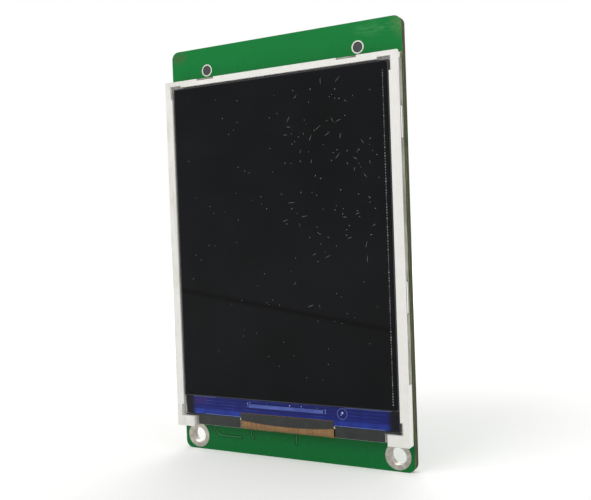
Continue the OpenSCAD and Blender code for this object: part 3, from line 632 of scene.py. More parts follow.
@dataclass(frozen=True)
class RolledSteel(Finish):
    """Cold-rolled stainless sheet: long fine rolling lines, brownish grey, with handling dirt."""

    dirt: str = "5d564c"
    line: float = 0.07

    def dress(self, tree: Tree) -> dict[str, Any]:
        """Rolling lines, dirt and uneven gloss.

        Args:
            tree: tree of the material.

        Returns:
            Shader inputs by name.
        """
        lines = relief(tree, cloudy(tree, self.line, 0, 1, 2.0, (1, 1, 0.03)), 0.003)
        colour = mixed(tree, cloudy(tree, 1.5, -0.1, 0.8, 5.0, (1, 1, 0.3)), self.colour, self.dirt)
        return {"Base Color": colour, "Roughness": cloudy(tree, 1.2, 0.28, 0.5), "Normal": lines}


@dataclass(frozen=True)
class BlackTape(Finish):
    """Black polyester tape: smooth and glossy with soft creases where it was pressed down."""

    sheen_tint: str = "1c2420"

    def dress(self, tree: Tree) -> dict[str, Any]:
        """Creases and a faint cast.

        Args:
            tree: tree of the material.

        Returns:
            Shader inputs by name.
        """
        colour = mixed(tree, cloudy(tree, 2.5, 0.0, 1.0), self.colour, self.sheen_tint)
        creases = relief(tree, cloudy(tree, 1.6, 0, 1), 0.02)
        return {"Base Color": colour, "Roughness": cloudy(tree, 1.2, 0.2, 0.4), "Normal": creases}


@dataclass(frozen=True)
class PolyimideFlex(Finish):
    """Amber polyimide film over etched copper: the conductors show through as darker lines along the tail."""

    conductor: str = "6a4524"
    amber_dark: str = "7d5c35"
    amber_light: str = "b58a50"
    pitch: float = 0.6
    front_pitch: float = 1.02
    tail_edge: float = -19.0
    copper_height: float = 0.01

    def dress(self, tree: Tree) -> dict[str, Any]:
        """Conductors across X at the glass and across Z in the tail.

        Args:
            tree: tree of the material.

        Returns:
            Shader inputs by name.
        """
        at_tail = band(tree, along(tree, "X"), self.tail_edge + 0.5, self.tail_edge - 0.5)
        rest = {"Value": 1.0, "Value_001": at_tail}
        upright = add_node(tree, "ShaderNodeMath", {"operation": "SUBTRACT"}, rest)
        front_lines = product(tree, stripes(tree, "X", self.front_pitch, 0.35), upright)
        tail_lines = product(tree, stripes(tree, "Z", self.pitch, 0.4), at_tail)
        lines = either(tree, front_lines, tail_lines)
        base = mixed(tree, upright, self.colour, self.amber_dark)
        base = mixed(tree, cloudy(tree, 2.0, 0.0, 0.4), base, self.amber_light)
        broken = product(tree, lines, cloudy(tree, 3.0, 0.05, 0.55))
        colour = mixed(tree, broken, base, self.conductor)
        return {"Base Color": colour, "Normal": relief(tree, lines, self.copper_height)}


@dataclass(frozen=True)
class DisplayGlass(Finish):
    """Thin soda-lime display glass over a dark coating: deep blue-black with ground edges."""

    rim: str = "3a4048"

    def dress(self, tree: Tree) -> dict[str, Any]:
        """Faint tint changes across the sheet."""
        return {"Base Color": mixed(tree, cloudy(tree, 6, 0.0, 0.25), self.colour, self.rim)}


@dataclass(frozen=True)
class PolarizerFilm(Finish):
    """Stretched, iodine-dyed film with a hard coat: near black, smooth, with dull wiped smears."""

    cast: str = "121316"
    wiped: str = "050506"
    wipe_middle: float = 26.5
    wipe_half: float = 0.9
    wipe_slope: float = 0.155

    def dress(self, tree: Tree) -> dict[str, Any]:
        """Wiped smears, one long wiped line and a faint cool cast.

        Args:
            tree: tree of the material.

        Returns:
            Shader inputs by name.
        """
        colour = mixed(tree, cloudy(tree, 14, 0.0, 1.0, 2.0), self.colour, self.cast)
        slant = {"Vector": object_coords(tree), "Vector_001": (self.wipe_slope, 0.0, 1.0)}
        height = add_node(tree, "ShaderNodeVectorMath", {"operation": "DOT_PRODUCT"}, slant, "Value")
        below = band(tree, height, self.wipe_middle - self.wipe_half, self.wipe_middle)
        above = band(tree, height, self.wipe_middle + self.wipe_half, self.wipe_middle)
        colour = mixed(tree, product(tree, below, above), colour, self.wiped)
        smears = cloudy(tree, 5, self.roughness - 0.04, self.roughness + 0.1, 4.0, (0.4, 1, 1))
        waves = relief(tree, cloudy(tree, 9, 0, 1, 1.0), 0.004)
        return {"Base Color": colour, "Roughness": smears, "Normal": waves}


@dataclass(frozen=True)
class LedgeVarnish(Finish):
    """Blue cured varnish over the thin-film conductors of the glass ledge: deep blue, lighter near its lower
    edge, violet at the left, dark at both ends, with fine conductors drawn coarser than real so they show."""

    light: str = "2a42a8"
    violet: str = "38256f"
    dark: str = "0a0c16"
    conductor: str = "0c1450"
    track: str = "3c55c0"
    half_width: float = 23.0
    base: float = 4.95
    conductor_pitch: float = 0.34
    track_pitch: float = 0.62

    def dress(self, tree: Tree) -> dict[str, Any]:
        """Bands of blue, violet end, fine conductors and dark corners.

        Args:
            tree: tree of the material.

        Returns:
            Shader inputs by name.
        """
        across, height, outer = along(tree, "X"), along(tree, "Z"), self.half_width
        low_edge = product(
            tree, band(tree, height, self.base + 1.5, self.base + 0.7), cloudy(tree, 3.5, 0.2, 1.0)
        )
        colour = mixed(tree, low_edge, self.colour, self.light)
        upper = band(tree, height, self.base + 1.6, self.base + 2.4)
        colour = mixed(tree, product(tree, band(tree, across, -16.5, -18.5), upper, 0.8), colour, self.violet)
        fan = product(tree, stripes(tree, "X", self.conductor_pitch, 0.45), cloudy(tree, 2.2, 0.0, 0.75))
        colour = mixed(tree, fan, colour, self.conductor)
        tracks = product(tree, stripes(tree, "Z", self.track_pitch, 0.2), cloudy(tree, 4.0, -0.3, 0.6))
        tracks = add_node(tree, "ShaderNodeClamp", inputs={"Value": tracks})
        colour = mixed(tree, tracks, colour, self.track)
        right_end = band(tree, across, outer - 2.6, outer - 1.2)
        left_end = band(tree, across, 2.4 - outer, 1.2 - outer)
        colour = mixed(tree, either(tree, right_end, left_end), colour, self.dark)
        return {"Base Color": colour, "Normal": relief(tree, cloudy(tree, 1.5, 0, 1), 0.006)}


@dataclass(frozen=True)
class DriverSilicon(Finish):
    """Bare ground silicon of the driver chip: light grey-blue metal sheen with fine grinding lines."""

    dark: str = "2b3a86"

    def dress(self, tree: Tree) -> dict[str, Any]:
        """Grinding lines and cloudy reflection.

        Args:
            tree: tree of the material.

        Returns:
            Shader inputs by name.
        """
        colour = mixed(tree, cloudy(tree, 1.4, 0.0, 0.9, 3.0, (0.4, 1, 1)), self.colour, self.dark)
        lines = relief(tree, cloudy(tree, 0.05, 0, 1, 1.0, (0.1, 1, 1)), 0.001)
        return {"Base Color": colour, "Normal": lines}


@dataclass(frozen=True)
class OpticalFilm(Finish):
    """Extruded optical film of the backlight: pale and satin, with fine ridges where it is a prism film."""

    ridge: float = 0.1
    cloud: str = "d2d6d8"

    def dress(self, tree: Tree) -> dict[str, Any]:
        """Fine ridges, drawn coarser than the real 0.05 mm so that they show."""
        colour = mixed(tree, cloudy(tree, 4, 0.0, 0.5), self.colour, self.cloud)
        return {"Base Color": colour, "Normal": relief(tree, stripes(tree, "Z", self.ridge, 0.5), 0.01)}


@dataclass(frozen=True)
class ClearAcrylic(Finish):
    """Clear moulded acrylic of the light guide, with its pattern of extraction dots."""

    def dress(self, tree: Tree) -> dict[str, Any]:
        """Light passes through; the dots roughen the surface."""
        return {"Transmission Weight": 0.9, "Roughness": cloudy(tree, 0.5, 0.03, 0.25)}


@dataclass(frozen=True)
class FoamTape(Finish):
    """Double-sided acrylic foam tape: dull off-white with open pores."""

    pore: str = "b9b6ad"

    def dress(self, tree: Tree) -> dict[str, Any]:
        """Pores."""
        pores = cloudy(tree, 0.15, 0.0, 1.0)
        return {"Base Color": mixed(tree, pores, self.colour, self.pore), "Normal": relief(tree, pores, 0.02)}


@dataclass(frozen=True)
class LegendInk(Finish):
    """Screen-printed white epoxy ink: matt, slightly thin over the green, which shows through in places."""

    thin: str = "93c9a4"

    def dress(self, tree: Tree) -> dict[str, Any]:
        """Thin places in the print."""
        return {"Base Color": mixed(tree, cloudy(tree, 0.35, -0.1, 0.75, 4.0), self.colour, self.thin)}


NODE_FINISHES: dict[Finish, tuple[str, ...]] = {
    SolderMask("green_solder_mask", "027a35", specular=0.16): ("circuit_board",),
    # the rear traces' lighter green is partly the copper under the mask and partly painted highlight where
    # their sloped mask edges catch the light
    MaskedCopper("copper_under_mask", "4aa66e", 0.3, specular=0.25): ("rear_traces",),
    MaskedCopper("pour_under_mask", "047836", 0.3, dull="046a2f"): ("front_traces",),
    TinPlate("hot_air_tin", "c3beb4", 0.26, 1.0): ("hole_plating",),
    TinPlate("tinned_land", "cdc7bc", 0.3, 1.0, dull="9a8f80", depth=0.006): ("part_lands",),
    TinPlate("tinned_lead", "cfcbc4", 0.28, 1.0, depth=0.003): (
        "touch_controller_leads",
        "transistor_leads",
        "socket_left_tabs",
        "socket_right_tabs",
        "flex_connector_anchors",
    ),
    TinPlate("solder_joint", "c9c2b6", 0.24, 1.0, dull="8f8271", dimple=0.4, depth=0.02): (
        "chip_terminals",
        "header_solder",
    ),
    GoldFlash("gold_flash_pin", "c2aa72", 0.28, 1.0): ("header_pins",),
    GoldFlash("gold_flash_contact", "c9a95a", 0.28, 1.0): (
        "socket_left_contacts",
        "socket_right_contacts",
        "flex_connector_contacts",
    ),
    MouldedPlastic("black_nylon", "2a2d30", 0.42, flow="36393c", grain_depth=0.006): ("header_body",),
    MouldedPlastic("ivory_nylon", "e4ddc4", 0.45, flow="d6cba9", grain_depth=0.002): (
        "socket_left",
        "socket_right",
    ),
    MouldedPlastic("grey_connector_resin", "66616d", 0.5, flow="55525c"): ("flex_connector",),
    MouldedPlastic("tan_latch_resin", "b27c6c", 0.48, flow="9d6a5a", round_edge=0.04): ("flex_latch",),
    MouldedPlastic("tan_stiffener", "a9806c", 0.5, flow="98705c", round_edge=0.02): ("flex_stiffener",),
    EpoxyPackage("package_epoxy", "484b4e", 0.6): ("touch_controller", "transistor"),
    FiredCeramic("capacitor_ceramic", "a58a62", 0.45): ("capacitors",),
    FiredCeramic("resistor_glaze", "1e1f21", 0.22, cloud="2c2d30"): ("resistors",),
    RolledSteel("rolled_stainless", "a5a198", 0.38, 1.0): ("steel_tray",),
    FramePolycarbonate(
        "white_polycarbonate", "eceae6", 0.42, flow="e2e0da", grain_depth=0.0015, round_edge=0.08
    ): ("display_frame",),
    OpticalFilm("silver_reflector", "e6e7ea", 0.18, 0.6): ("reflector_film",),
    ClearAcrylic("clear_acrylic", "f2f8f8", 0.1, ior=1.49): ("light_guide",),
    OpticalFilm("diffuser_sheet", "f0f0ee", 0.7): ("diffuser_film",),
    OpticalFilm("prism_sheet", "dfe4ea", 0.3): ("prism_film_rear", "prism_film_front"),
    BlackTape("black_polyester_tape", "101113", 0.3): ("light_shields", "rim_tape"),
    PolyimideFlex("amber_polyimide", "a87848", 0.33): ("display_flex", "led_strip"),
    FiredCeramic("led_phosphor", "ece7c6", 0.5, cloud="dcd49a"): ("backlight_leds",),
    PolarizerFilm("rear_polarizer_film", "121315", 0.2, specular=0.2): ("rear_polarizer",),
    PolarizerFilm("front_polarizer_film", "0c0d0e", 0.2, specular=0.08): ("front_polarizer",),
    DisplayGlass("display_glass", "12151c", 0.08, ior=1.52): ("array_glass", "filter_glass"),
    DriverSilicon("driver_silicon", "5468b4", 0.25, 0.35): ("driver_chip",),
    LedgeVarnish("blue_ledge_varnish", "111a68", 0.2, specular=0.2): ("ledge_coating",),
    FoamTape("foam_tape", "e6e4de", 0.85): ("mounting_tape",),
}

LEGEND = LegendInk("white_legend_ink", "dff0e2", 0.65)
GAP = MaskedCopper("bare_laminate_under_mask", "004220", 0.32, specular=0.14, dull="004c26")
GAP_FRONT = MaskedCopper("front_gap_under_mask", "01431f", 0.32, specular=0.14, dull="014a23")
OPENING = FiredCeramic("mask_opening", "3c5a34", 0.55, cloud="56683f")
JOINT = TinPlate("bright_solder", "d2cbc0", 0.2, 1.0, dull="938777", dimple=0.5, depth=0.03)
PEG_RING = TinPlate("peg_hole_ring", "d9d9d2", 0.4, 0.6, dull="b9b8ae")
VIA_CAP = MaskedCopper("tented_via", "3d9a62", 0.35)
DUST = FiredCeramic("dust_and_lint", "8d9296", 0.9, cloud="54585c")
SEAL_DOT = FiredCeramic("seal_bead", "9a9c9c", 0.6, cloud="6c6f70")
# painted highlights along the ledge's edges, also used for the ring round its alignment mark
LEDGE_GLINT = FiredCeramic("ledge_edge_glint", "6f86c8", 0.4, cloud="33447f")
# bright metal of the ledge test pads, also used to paint the glint in the alignment mark
LEDGE_METAL_AND_GLINT = TinPlate("ledge_alignment_metal", "c9d4ee", 0.25, 0.8, dull="7e8cc0")


# ---------------------------------------------------------------- mesh work


@dataclass
class Draft:
    """Collects closed thin solids, given in millimetres, into one mesh."""

    verts: list[tuple[float, float, float]] = field(default_factory=list)
    faces: list[tuple[int, ...]] = field(default_factory=list)

    def slab(self, outline: Sequence[Point], y0: float, y1: float) -> None:
        """Adds a flat solid.

        Args:
            outline: corners in X and Z.
            y0: one face.
            y1: the other face.
        """
        if signed_area(outline) < 0:
            outline = list(reversed(outline))
        near, far = min(y0, y1), max(y0, y1)
        start, n = len(self.verts), len(outline)
        self.verts += [(x, near, z) for x, z in outline] + [(x, far, z) for x, z in outline]
        self.faces.append(tuple(range(start, start + n)))
        self.faces.append(tuple(range(start + 2 * n - 1, start + n - 1, -1)))
        for i in range(n):
            j = (i + 1) % n
            self.faces.append((start + j, start + i, start + n + i, start + n + j))

    def washer(
        self, centre: Point, inner: float, outer: float, y0: float, y1: float, steps: int = 32
    ) -> None:
        """Adds a flat ring.

        Args:
            centre: middle in X and Z.
            inner: inner radius.
            outer: outer radius.
            y0: one face.
            y1: the other face.
            steps: sides of the circle.
        """
        near, far = min(y0, y1), max(y0, y1)
        first = len(self.verts)
        for radius, y in ((inner, near), (outer, near), (outer, far), (inner, far)):
            for i in range(steps):
                a = math.tau * i / steps
                self.verts.append((centre[0] + radius * math.cos(a), y, centre[1] + radius * math.sin(a)))
        for ring in range(4):
            here, after = first + ring * steps, first + (ring + 1) % 4 * steps
            for i in range(steps):
                j = (i + 1) % steps
                self.faces.append((here + i, here + j, after + j, after + i))

    def mesh(self, name: str) -> bpy.types.Mesh:
        """Makes the mesh, in metres, with its faces pointing outward.

        Args:
            name: name of the mesh.

        Returns:
            The mesh.
        """
        made = bpy.data.meshes.new(name)
        made.from_pydata([tuple(c * MM for c in v) for v in self.verts], [], self.faces)
        work = bmesh.new()
        work.from_mesh(made)
        bmesh.ops.recalc_face_normals(work, faces=work.faces)
        work.to_mesh(made)
        work.free()
        return made


def signed_area(outline: Sequence[Point]) -> float:
    """Gives the area of an outline, positive where it runs anticlockwise from X to Z."""
    pairs = zip(outline, list(outline[1:]) + [outline[0]])
    return sum(a[0] * b[1] - b[0] * a[1] for a, b in pairs) / 2


def mitre(before: Vector, after: Vector) -> Vector:
    """Gives the corner offset for two unit directions, one unit to the left of both."""
    left = Vector((-before.y - after.y, before.x + after.x))
    return left / (1 + before.dot(after))


def ribbon(points: Sequence[Point], width: float) -> Outline:
    """Outline of a strip that follows some points.

    Args:
        points: its centre line in X and Z.
        width: its width.

    Returns:
        The outline.
    """
    path = [Vector(p) for p in points]
    steps = [(b - a).normalized() for a, b in zip(path, path[1:])]
    sides = [mitre(steps[max(i - 1, 0)], steps[min(i, len(steps) - 1)]) * width / 2 for i in range(len(path))]
    left = [p + s for p, s in zip(path, sides)]
    right = [p - s for p, s in zip(path, sides)]
    return [(p.x, p.y) for p in left + right[::-1]]


def grown(outline: Outline, margin: float) -> Outline:
    """Moves every side of an outline outward.

    Args:
        outline: closed outline in X and Z.
        margin: distance.

    Returns:
        The larger outline.
    """
    if signed_area(outline) > 0:
        outline = outline[::-1]
    path = [Vector(p) for p in outline]
    n = len(path)
    steps = [(path[(i + 1) % n] - path[i]).normalized() for i in range(n)]
    return [tuple(p + mitre(steps[i - 1], steps[i]) * margin) for i, p in enumerate(path)]


def circle(centre: Point, radius: float, steps: int = 24) -> Outline:
    """Gives the outline of a disc."""
    turns = [math.tau * i / steps for i in range(steps)]
    return [(centre[0] + radius * math.cos(a), centre[1] + radius * math.sin(a)) for a in turns]


def box_outline(x0: float, z0: float, x1: float, z1: float) -> Outline:
    """Gives the outline of a rectangle between two corners."""
    return [(x0, z0), (x1, z0), (x1, z1), (x0, z1)]


def flat_outlines(node: bpy.types.Object, face: Face) -> list[Outline]:
    """Outlines of the outer faces of a thin part.

    Args:
        node: the part.
        face: which way the outlines look.

    Returns:
        One outline in X and Z, in millimetres, for each separate solid.
    """
    work = bmesh.new()
    work.from_mesh(node.data)
    bmesh.ops.remove_doubles(work, verts=work.verts, dist=MERGE_DISTANCE)
    bmesh.ops.dissolve_limit(work, angle_limit=FLAT_ANGLE, verts=work.verts, edges=work.edges)
    outer = [f for f in work.faces if f.normal.y * face.value > FACING and len(f.verts) > 3]
    found = [[(v.co.x / MM, v.co.z / MM) for v in f.verts] for f in outer]
    work.free()
    return found


def limits(node: str) -> tuple[Vector, Vector]:
    """Gives the lowest and highest corner of a part, in millimetres."""
    low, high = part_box(node)
    return low / MM, high / MM


def put(
    name: str,
    mesh: bpy.types.Mesh,
    finish: bpy.types.Material | None = None,
    stands_for: Iterable[str] = (),
) -> None:
    """Places a finished piece and makes it ride on the module.

    Args:
        name: name of the piece.
        mesh: its mesh, in place.
        finish: its material, if the mesh has none yet.
        stands_for: parts that it replaces.
    """
    piece = bpy.data.objects.new(name, mesh)
    bpy.context.scene.collection.objects.link(piece)
    if finish is not None:
        mesh.materials.clear()
        mesh.materials.append(finish)
    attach(piece, MODULE)
    if stands_for:
        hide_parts(*stands_for)
    LOG.info("%s: %d faces on %s", name, len(mesh.polygons), MODULE)


# ---------------------------------------------------------------- geometry node trees


def new_tree(name: str, sockets: Sequence[tuple[str, str]]) -> tuple[Tree, dict[str, Socket], dict[str, str]]:
    """Starts a geometry tree with named inputs.

    Args:
        name: name of the tree.
        sockets: name and socket type of each input after the geometry.

    Returns:
        The tree, its input sockets by name, and their identifiers by name.
    """
    tree = bpy.data.node_groups.new(name, "GeometryNodeTree")
    tree.interface.new_socket(name="Geometry", in_out="INPUT", socket_type="NodeSocketGeometry")
    keys = {}
    for label, kind in sockets:
        keys[label] = tree.interface.new_socket(name=label, in_out="INPUT", socket_type=kind).identifier
    tree.interface.new_socket(name="Geometry", in_out="OUTPUT", socket_type="NodeSocketGeometry")
    entry = tree.nodes.new("NodeGroupInput")
    return tree, {s.name: s for s in entry.outputs if s.name}, keys


def run_tree(
    tree: Tree, keys: dict[str, str], host: bpy.types.Mesh, values: dict[str, Any], name: str
) -> bpy.types.Mesh:
    """Runs a tree on a mesh and gives back a plain mesh.

    Args:
        tree: the geometry tree.
        keys: identifiers of its inputs by name.
        host: mesh that goes in.
        values: value of each input by name.
        name: name of the result.

    Returns:
        The result, without modifier.
    """
    carrier = bpy.data.objects.new(name + "_host", host)
    bpy.context.scene.collection.objects.link(carrier)
    modifier = carrier.modifiers.new(name, "NODES")
    modifier.node_group = tree
    for label, value in values.items():
        modifier[keys[label]] = value
    graph = bpy.context.evaluated_depsgraph_get()
    made = bpy.data.meshes.new_from_object(carrier.evaluated_get(graph))
    made.name = name
    carrier.modifiers.clear()
    bpy.data.objects.remove(carrier)
    return made


@dataclass
class Repeated:
    """One small solid repeated by a geometry tree, its turn and size drawn from a fixed seed."""

    name: str
    motif: bpy.types.Mesh
    finish: bpy.types.Material
    smallest: float = 1.0
    largest: float = 1.0
    seed: int = 1
    turn: float = 0.0

    def host(self) -> bpy.types.Mesh:
        """Gives the mesh that goes into the tree."""
        raise NotImplementedError

    def extra_inputs(self) -> dict[str, tuple[str, Any]]:
        """Gives further inputs of the tree: socket type and value by name."""
        return {}

    def places(self, tree: Tree, given: dict[str, Socket]) -> Socket:
        """Gives the points that carry the solid."""
        return given["Geometry"]

    def growth(self, size: Socket) -> dict[str, Any]:
        """Gives the scale along each axis for a drawn size."""
        return {"X": size, "Y": 1.0, "Z": size}

    def drawn(self, tree: Tree, given: dict[str, Socket], low: Socket | float, high: Socket) -> Socket:
        """Draws a number for each copy.

        Args:
            tree: the geometry tree.
            given: its input sockets by name.
            low: smallest number.
            high: largest number.

        Returns:
            The number.
        """
        span = {"Min_001": low, "Max_001": high, "Seed": given["Seed"]}
        return add_node(tree, "FunctionNodeRandomValue", {"data_type": "FLOAT"}, span, "Value_001")

    def mesh(self) -> bpy.types.Mesh:
        """Makes the repeated mesh.

        Returns:
            One plain mesh.
        """
        stamp = bpy.data.objects.new(self.name + "_motif", self.motif)
        inputs: dict[str, tuple[str, Any]] = {
            "Motif": ("NodeSocketObject", stamp),
            "Turn": ("NodeSocketFloat", self.turn),
            "Smallest": ("NodeSocketFloat", self.smallest),
            "Largest": ("NodeSocketFloat", self.largest),
            "Seed": ("NodeSocketInt", self.seed),
            "Finish": ("NodeSocketMaterial", self.finish),
        }
        inputs.update(self.extra_inputs())
        tree, given, keys = new_tree(self.name, [(label, kind) for label, (kind, _) in inputs.items()])
        shape = add_node(tree, "GeometryNodeObjectInfo", inputs={"Object": given["Motif"]}, output="Geometry")
        spin = self.drawn(tree, given, 0.0, given["Turn"])
        turn = add_node(tree, "ShaderNodeCombineXYZ", inputs={"Y": spin})
        size = self.drawn(tree, given, given["Smallest"], given["Largest"])
        scale = add_node(tree, "ShaderNodeCombineXYZ", inputs=self.growth(size))
        carried = {"Points": self.places(tree, given), "Instance": shape, "Rotation": turn, "Scale": scale}
        copies = add_node(tree, "GeometryNodeInstanceOnPoints", inputs=carried)
        finish_tree(tree, copies, given["Finish"])
        values = {label: value for label, (_, value) in inputs.items()}
        made = run_tree(tree, keys, self.host(), values, self.name)
        bpy.data.objects.remove(stamp)
        return made


@dataclass
class MotifRow(Repeated):
    """Repeats a solid on chosen points."""

    points: list[tuple[float, float, float]] = field(default_factory=list)

    def host(self) -> bpy.types.Mesh:
        """Gives a mesh of the points alone.

        Returns:
            The mesh.
        """
        host = bpy.data.meshes.new(self.name + "_points")
        host.from_pydata([tuple(c * MM for c in p) for p in self.points], [], [])
        return host


@dataclass
class MotifScatter(Repeated):
    """Scatters a solid over a flat rectangle, at any turn and stretched along its own length."""

    turn: float = math.tau
    area: tuple[float, float, float, float] = (0.0, 0.0, 1.0, 1.0)
    y: float = 0.0
    per_square_mm: float = 0.1

    def host(self) -> bpy.types.Mesh:
        """Gives the rectangle.

        Returns:
            A mesh of one face.
        """
        x0, z0, x1, z1 = self.area
        host = bpy.data.meshes.new(self.name + "_surface")
        corners = [(x * MM, self.y * MM, z * MM) for x, z in box_outline(x0, z0, x1, z1)]
        host.from_pydata(corners, [], [(0, 1, 2, 3)])
        return host

    def extra_inputs(self) -> dict[str, tuple[str, Any]]:
        """Gives the number of copies per square metre."""
        return {"Density": ("NodeSocketFloat", self.per_square_mm / MM**2)}

    def places(self, tree: Tree, given: dict[str, Socket]) -> Socket:
        """Gives points spread at random over the rectangle.

        Args:
            tree: the geometry tree.
            given: its input sockets by name.

        Returns:
            The points.
        """
        spread = {"Mesh": given["Geometry"], "Density": given["Density"], "Seed": given["Seed"]}
        random = {"distribute_method": "RANDOM"}
        return add_node(tree, "GeometryNodeDistributePointsOnFaces", random, spread, "Points")

    def growth(self, size: Socket) -> dict[str, Any]:
        """Gives a scale that changes only the length."""
        return {"X": size, "Y": 1.0, "Z": 1.0}


def finish_tree(tree: Tree, shape: Socket, finish: Socket) -> None:
    """Ends a geometry tree with plain geometry and its material.

    Args:
        tree: the tree.
        shape: what it made.
        finish: material of the result.
    """
    solid = add_node(tree, "GeometryNodeRealizeInstances", inputs={"Geometry": shape})
    dressed = add_node(tree, "GeometryNodeSetMaterial", inputs={"Geometry": solid, "Material": finish})
    add_node(tree, "NodeGroupOutput", inputs={"Geometry": dressed})


def fused(name: str, draft: Draft, finish: bpy.types.Material) -> bpy.types.Mesh:
    """Joins overlapping flat solids into one skin.

    Args:
        name: name of the result.
        draft: the solids.
        finish: material of the result.

    Returns:
        The joined mesh.
    """
    tree, given, keys = new_tree(name, [("Finish", "NodeSocketMaterial")])
    exact = {"operation": "UNION", "solver": "EXACT"}
    own = {"Mesh 2": given["Geometry"], "Self Intersection": True}
    finish_tree(tree, add_node(tree, "GeometryNodeMeshBoolean", exact, own), given["Finish"])
    return run_tree(tree, keys, draft.mesh(name), {"Finish": finish}, name)


# ---------------------------------------------------------------- sub-assemblies


@dataclass
class Conductors:
    """Gaps beside the masked copper, openings round the lands, and tented vias."""

    nodes: dict[str, bpy.types.Object]
    trace_gap: float = 0.2
    fan_gap: float = 0.52
    land_gap: float = 0.07
    gap_lift: float = 0.012
    opening_lift: float = 0.018
    via_r: float = 0.34
    via_hole_r: float = 0.1
    via_rise: float = 0.045
    via_plug_rise: float = 0.03
    via_sides: int = 16
    widest_end: float = 0.5
    end_reach: float = 0.02
    header_low: float = 69.0
    land_reach: float = 1.3
    fan_right: float = 15.0
    fan_low: float = 10.5

    def margin(self, outline: Outline) -> float:
        """Gives the width of the bare strip beside a conductor.

        Args:
            outline: outline of the conductor.

        Returns:
            The wide gap of the fan between the flex connector and the header, or the narrow one elsewhere.
        """
        xs, zs = [p[0] for p in outline], [p[1] for p in outline]
        in_fan = max(zs) > self.header_low and max(xs) < self.fan_right and min(zs) > self.fan_low
        return self.fan_gap if in_fan else self.trace_gap

    def gaps(self, node: str, face: Face, finish: Finish, y0: float, y1: float) -> None:
        """Lays the darker bare strips on both sides of every conductor of a part.

        Args:
            node: part that holds the conductors.
            face: face of the board that they lie on.
            finish: finish of the strips.
            y0: the board's face.
            y1: top of the strips.
        """
        draft = Draft()
        for outline in flat_outlines(self.nodes[node], face):
            draft.slab(grown(outline, self.margin(outline)), y0, y1)
        put(node + "_gaps", fused(node + "_gaps", draft, finish.build()))

    def build(self) -> None:
        """Makes the gaps, openings and vias."""
        low, high = limits("circuit_board")
        self.gaps("rear_traces", Face.REAR, GAP, high.y, high.y + self.gap_lift)
        self.gaps("front_traces", Face.FRONT, GAP_FRONT, low.y, low.y - self.gap_lift)
        lands = flat_outlines(self.nodes["part_lands"], Face.REAR)
        openings = Draft()
        for outline in lands:
            openings.slab(grown(outline, self.land_gap), high.y, high.y + self.opening_lift)
        put("land_openings", openings.mesh("land_openings"), OPENING.build())
        self.vias(high.y, lands)

    def free_ends(self, rear: float, lands: list[Outline]) -> list[tuple[float, float, float]]:
        """Finds the ends of the conductors that stop away from any land.

        Args:
            rear: Y of the board's rear face.
            lands: outlines of the lands.

        Returns:
            The middle of each end.
        """
        centres = [Vector((sum(p[0] for p in o) / len(o), sum(p[1] for p in o) / len(o))) for o in lands]
        spots: list[tuple[float, float, float]] = []
        for outline in flat_outlines(self.nodes["rear_traces"], Face.REAR):
            for pick in (min, max):
                z = pick(p[1] for p in outline)
                ends = [p[0] for p in outline if abs(p[1] - z) < self.end_reach]
                at = Vector((sum(ends) / len(ends), z))
                is_end = len(ends) == 2 and max(ends) - min(ends) < self.widest_end
                is_free = z < self.header_low and min((at - c).length for c in centres) > self.land_reach
                if is_end and is_free:
                    spots.append((at.x, rear, at.y))
        return spots

    def vias(self, rear: float, lands: list[Outline]) -> None:
        """Caps the free ends of the conductors.

        Args:
            rear: Y of the board's rear face.
            lands: outlines of the lands.
        """
        cap = Draft()
        cap.washer((0, 0), self.via_hole_r, self.via_r, 0, self.via_rise, self.via_sides)
        cap.slab(circle((0, 0), self.via_hole_r, self.via_sides), 0, self.via_plug_rise)
        spots = self.free_ends(rear, lands)
        row = MotifRow("tented_vias", cap.mesh("via_cap"), VIA_CAP.build(), points=spots)
        put("tented_vias", row.mesh())


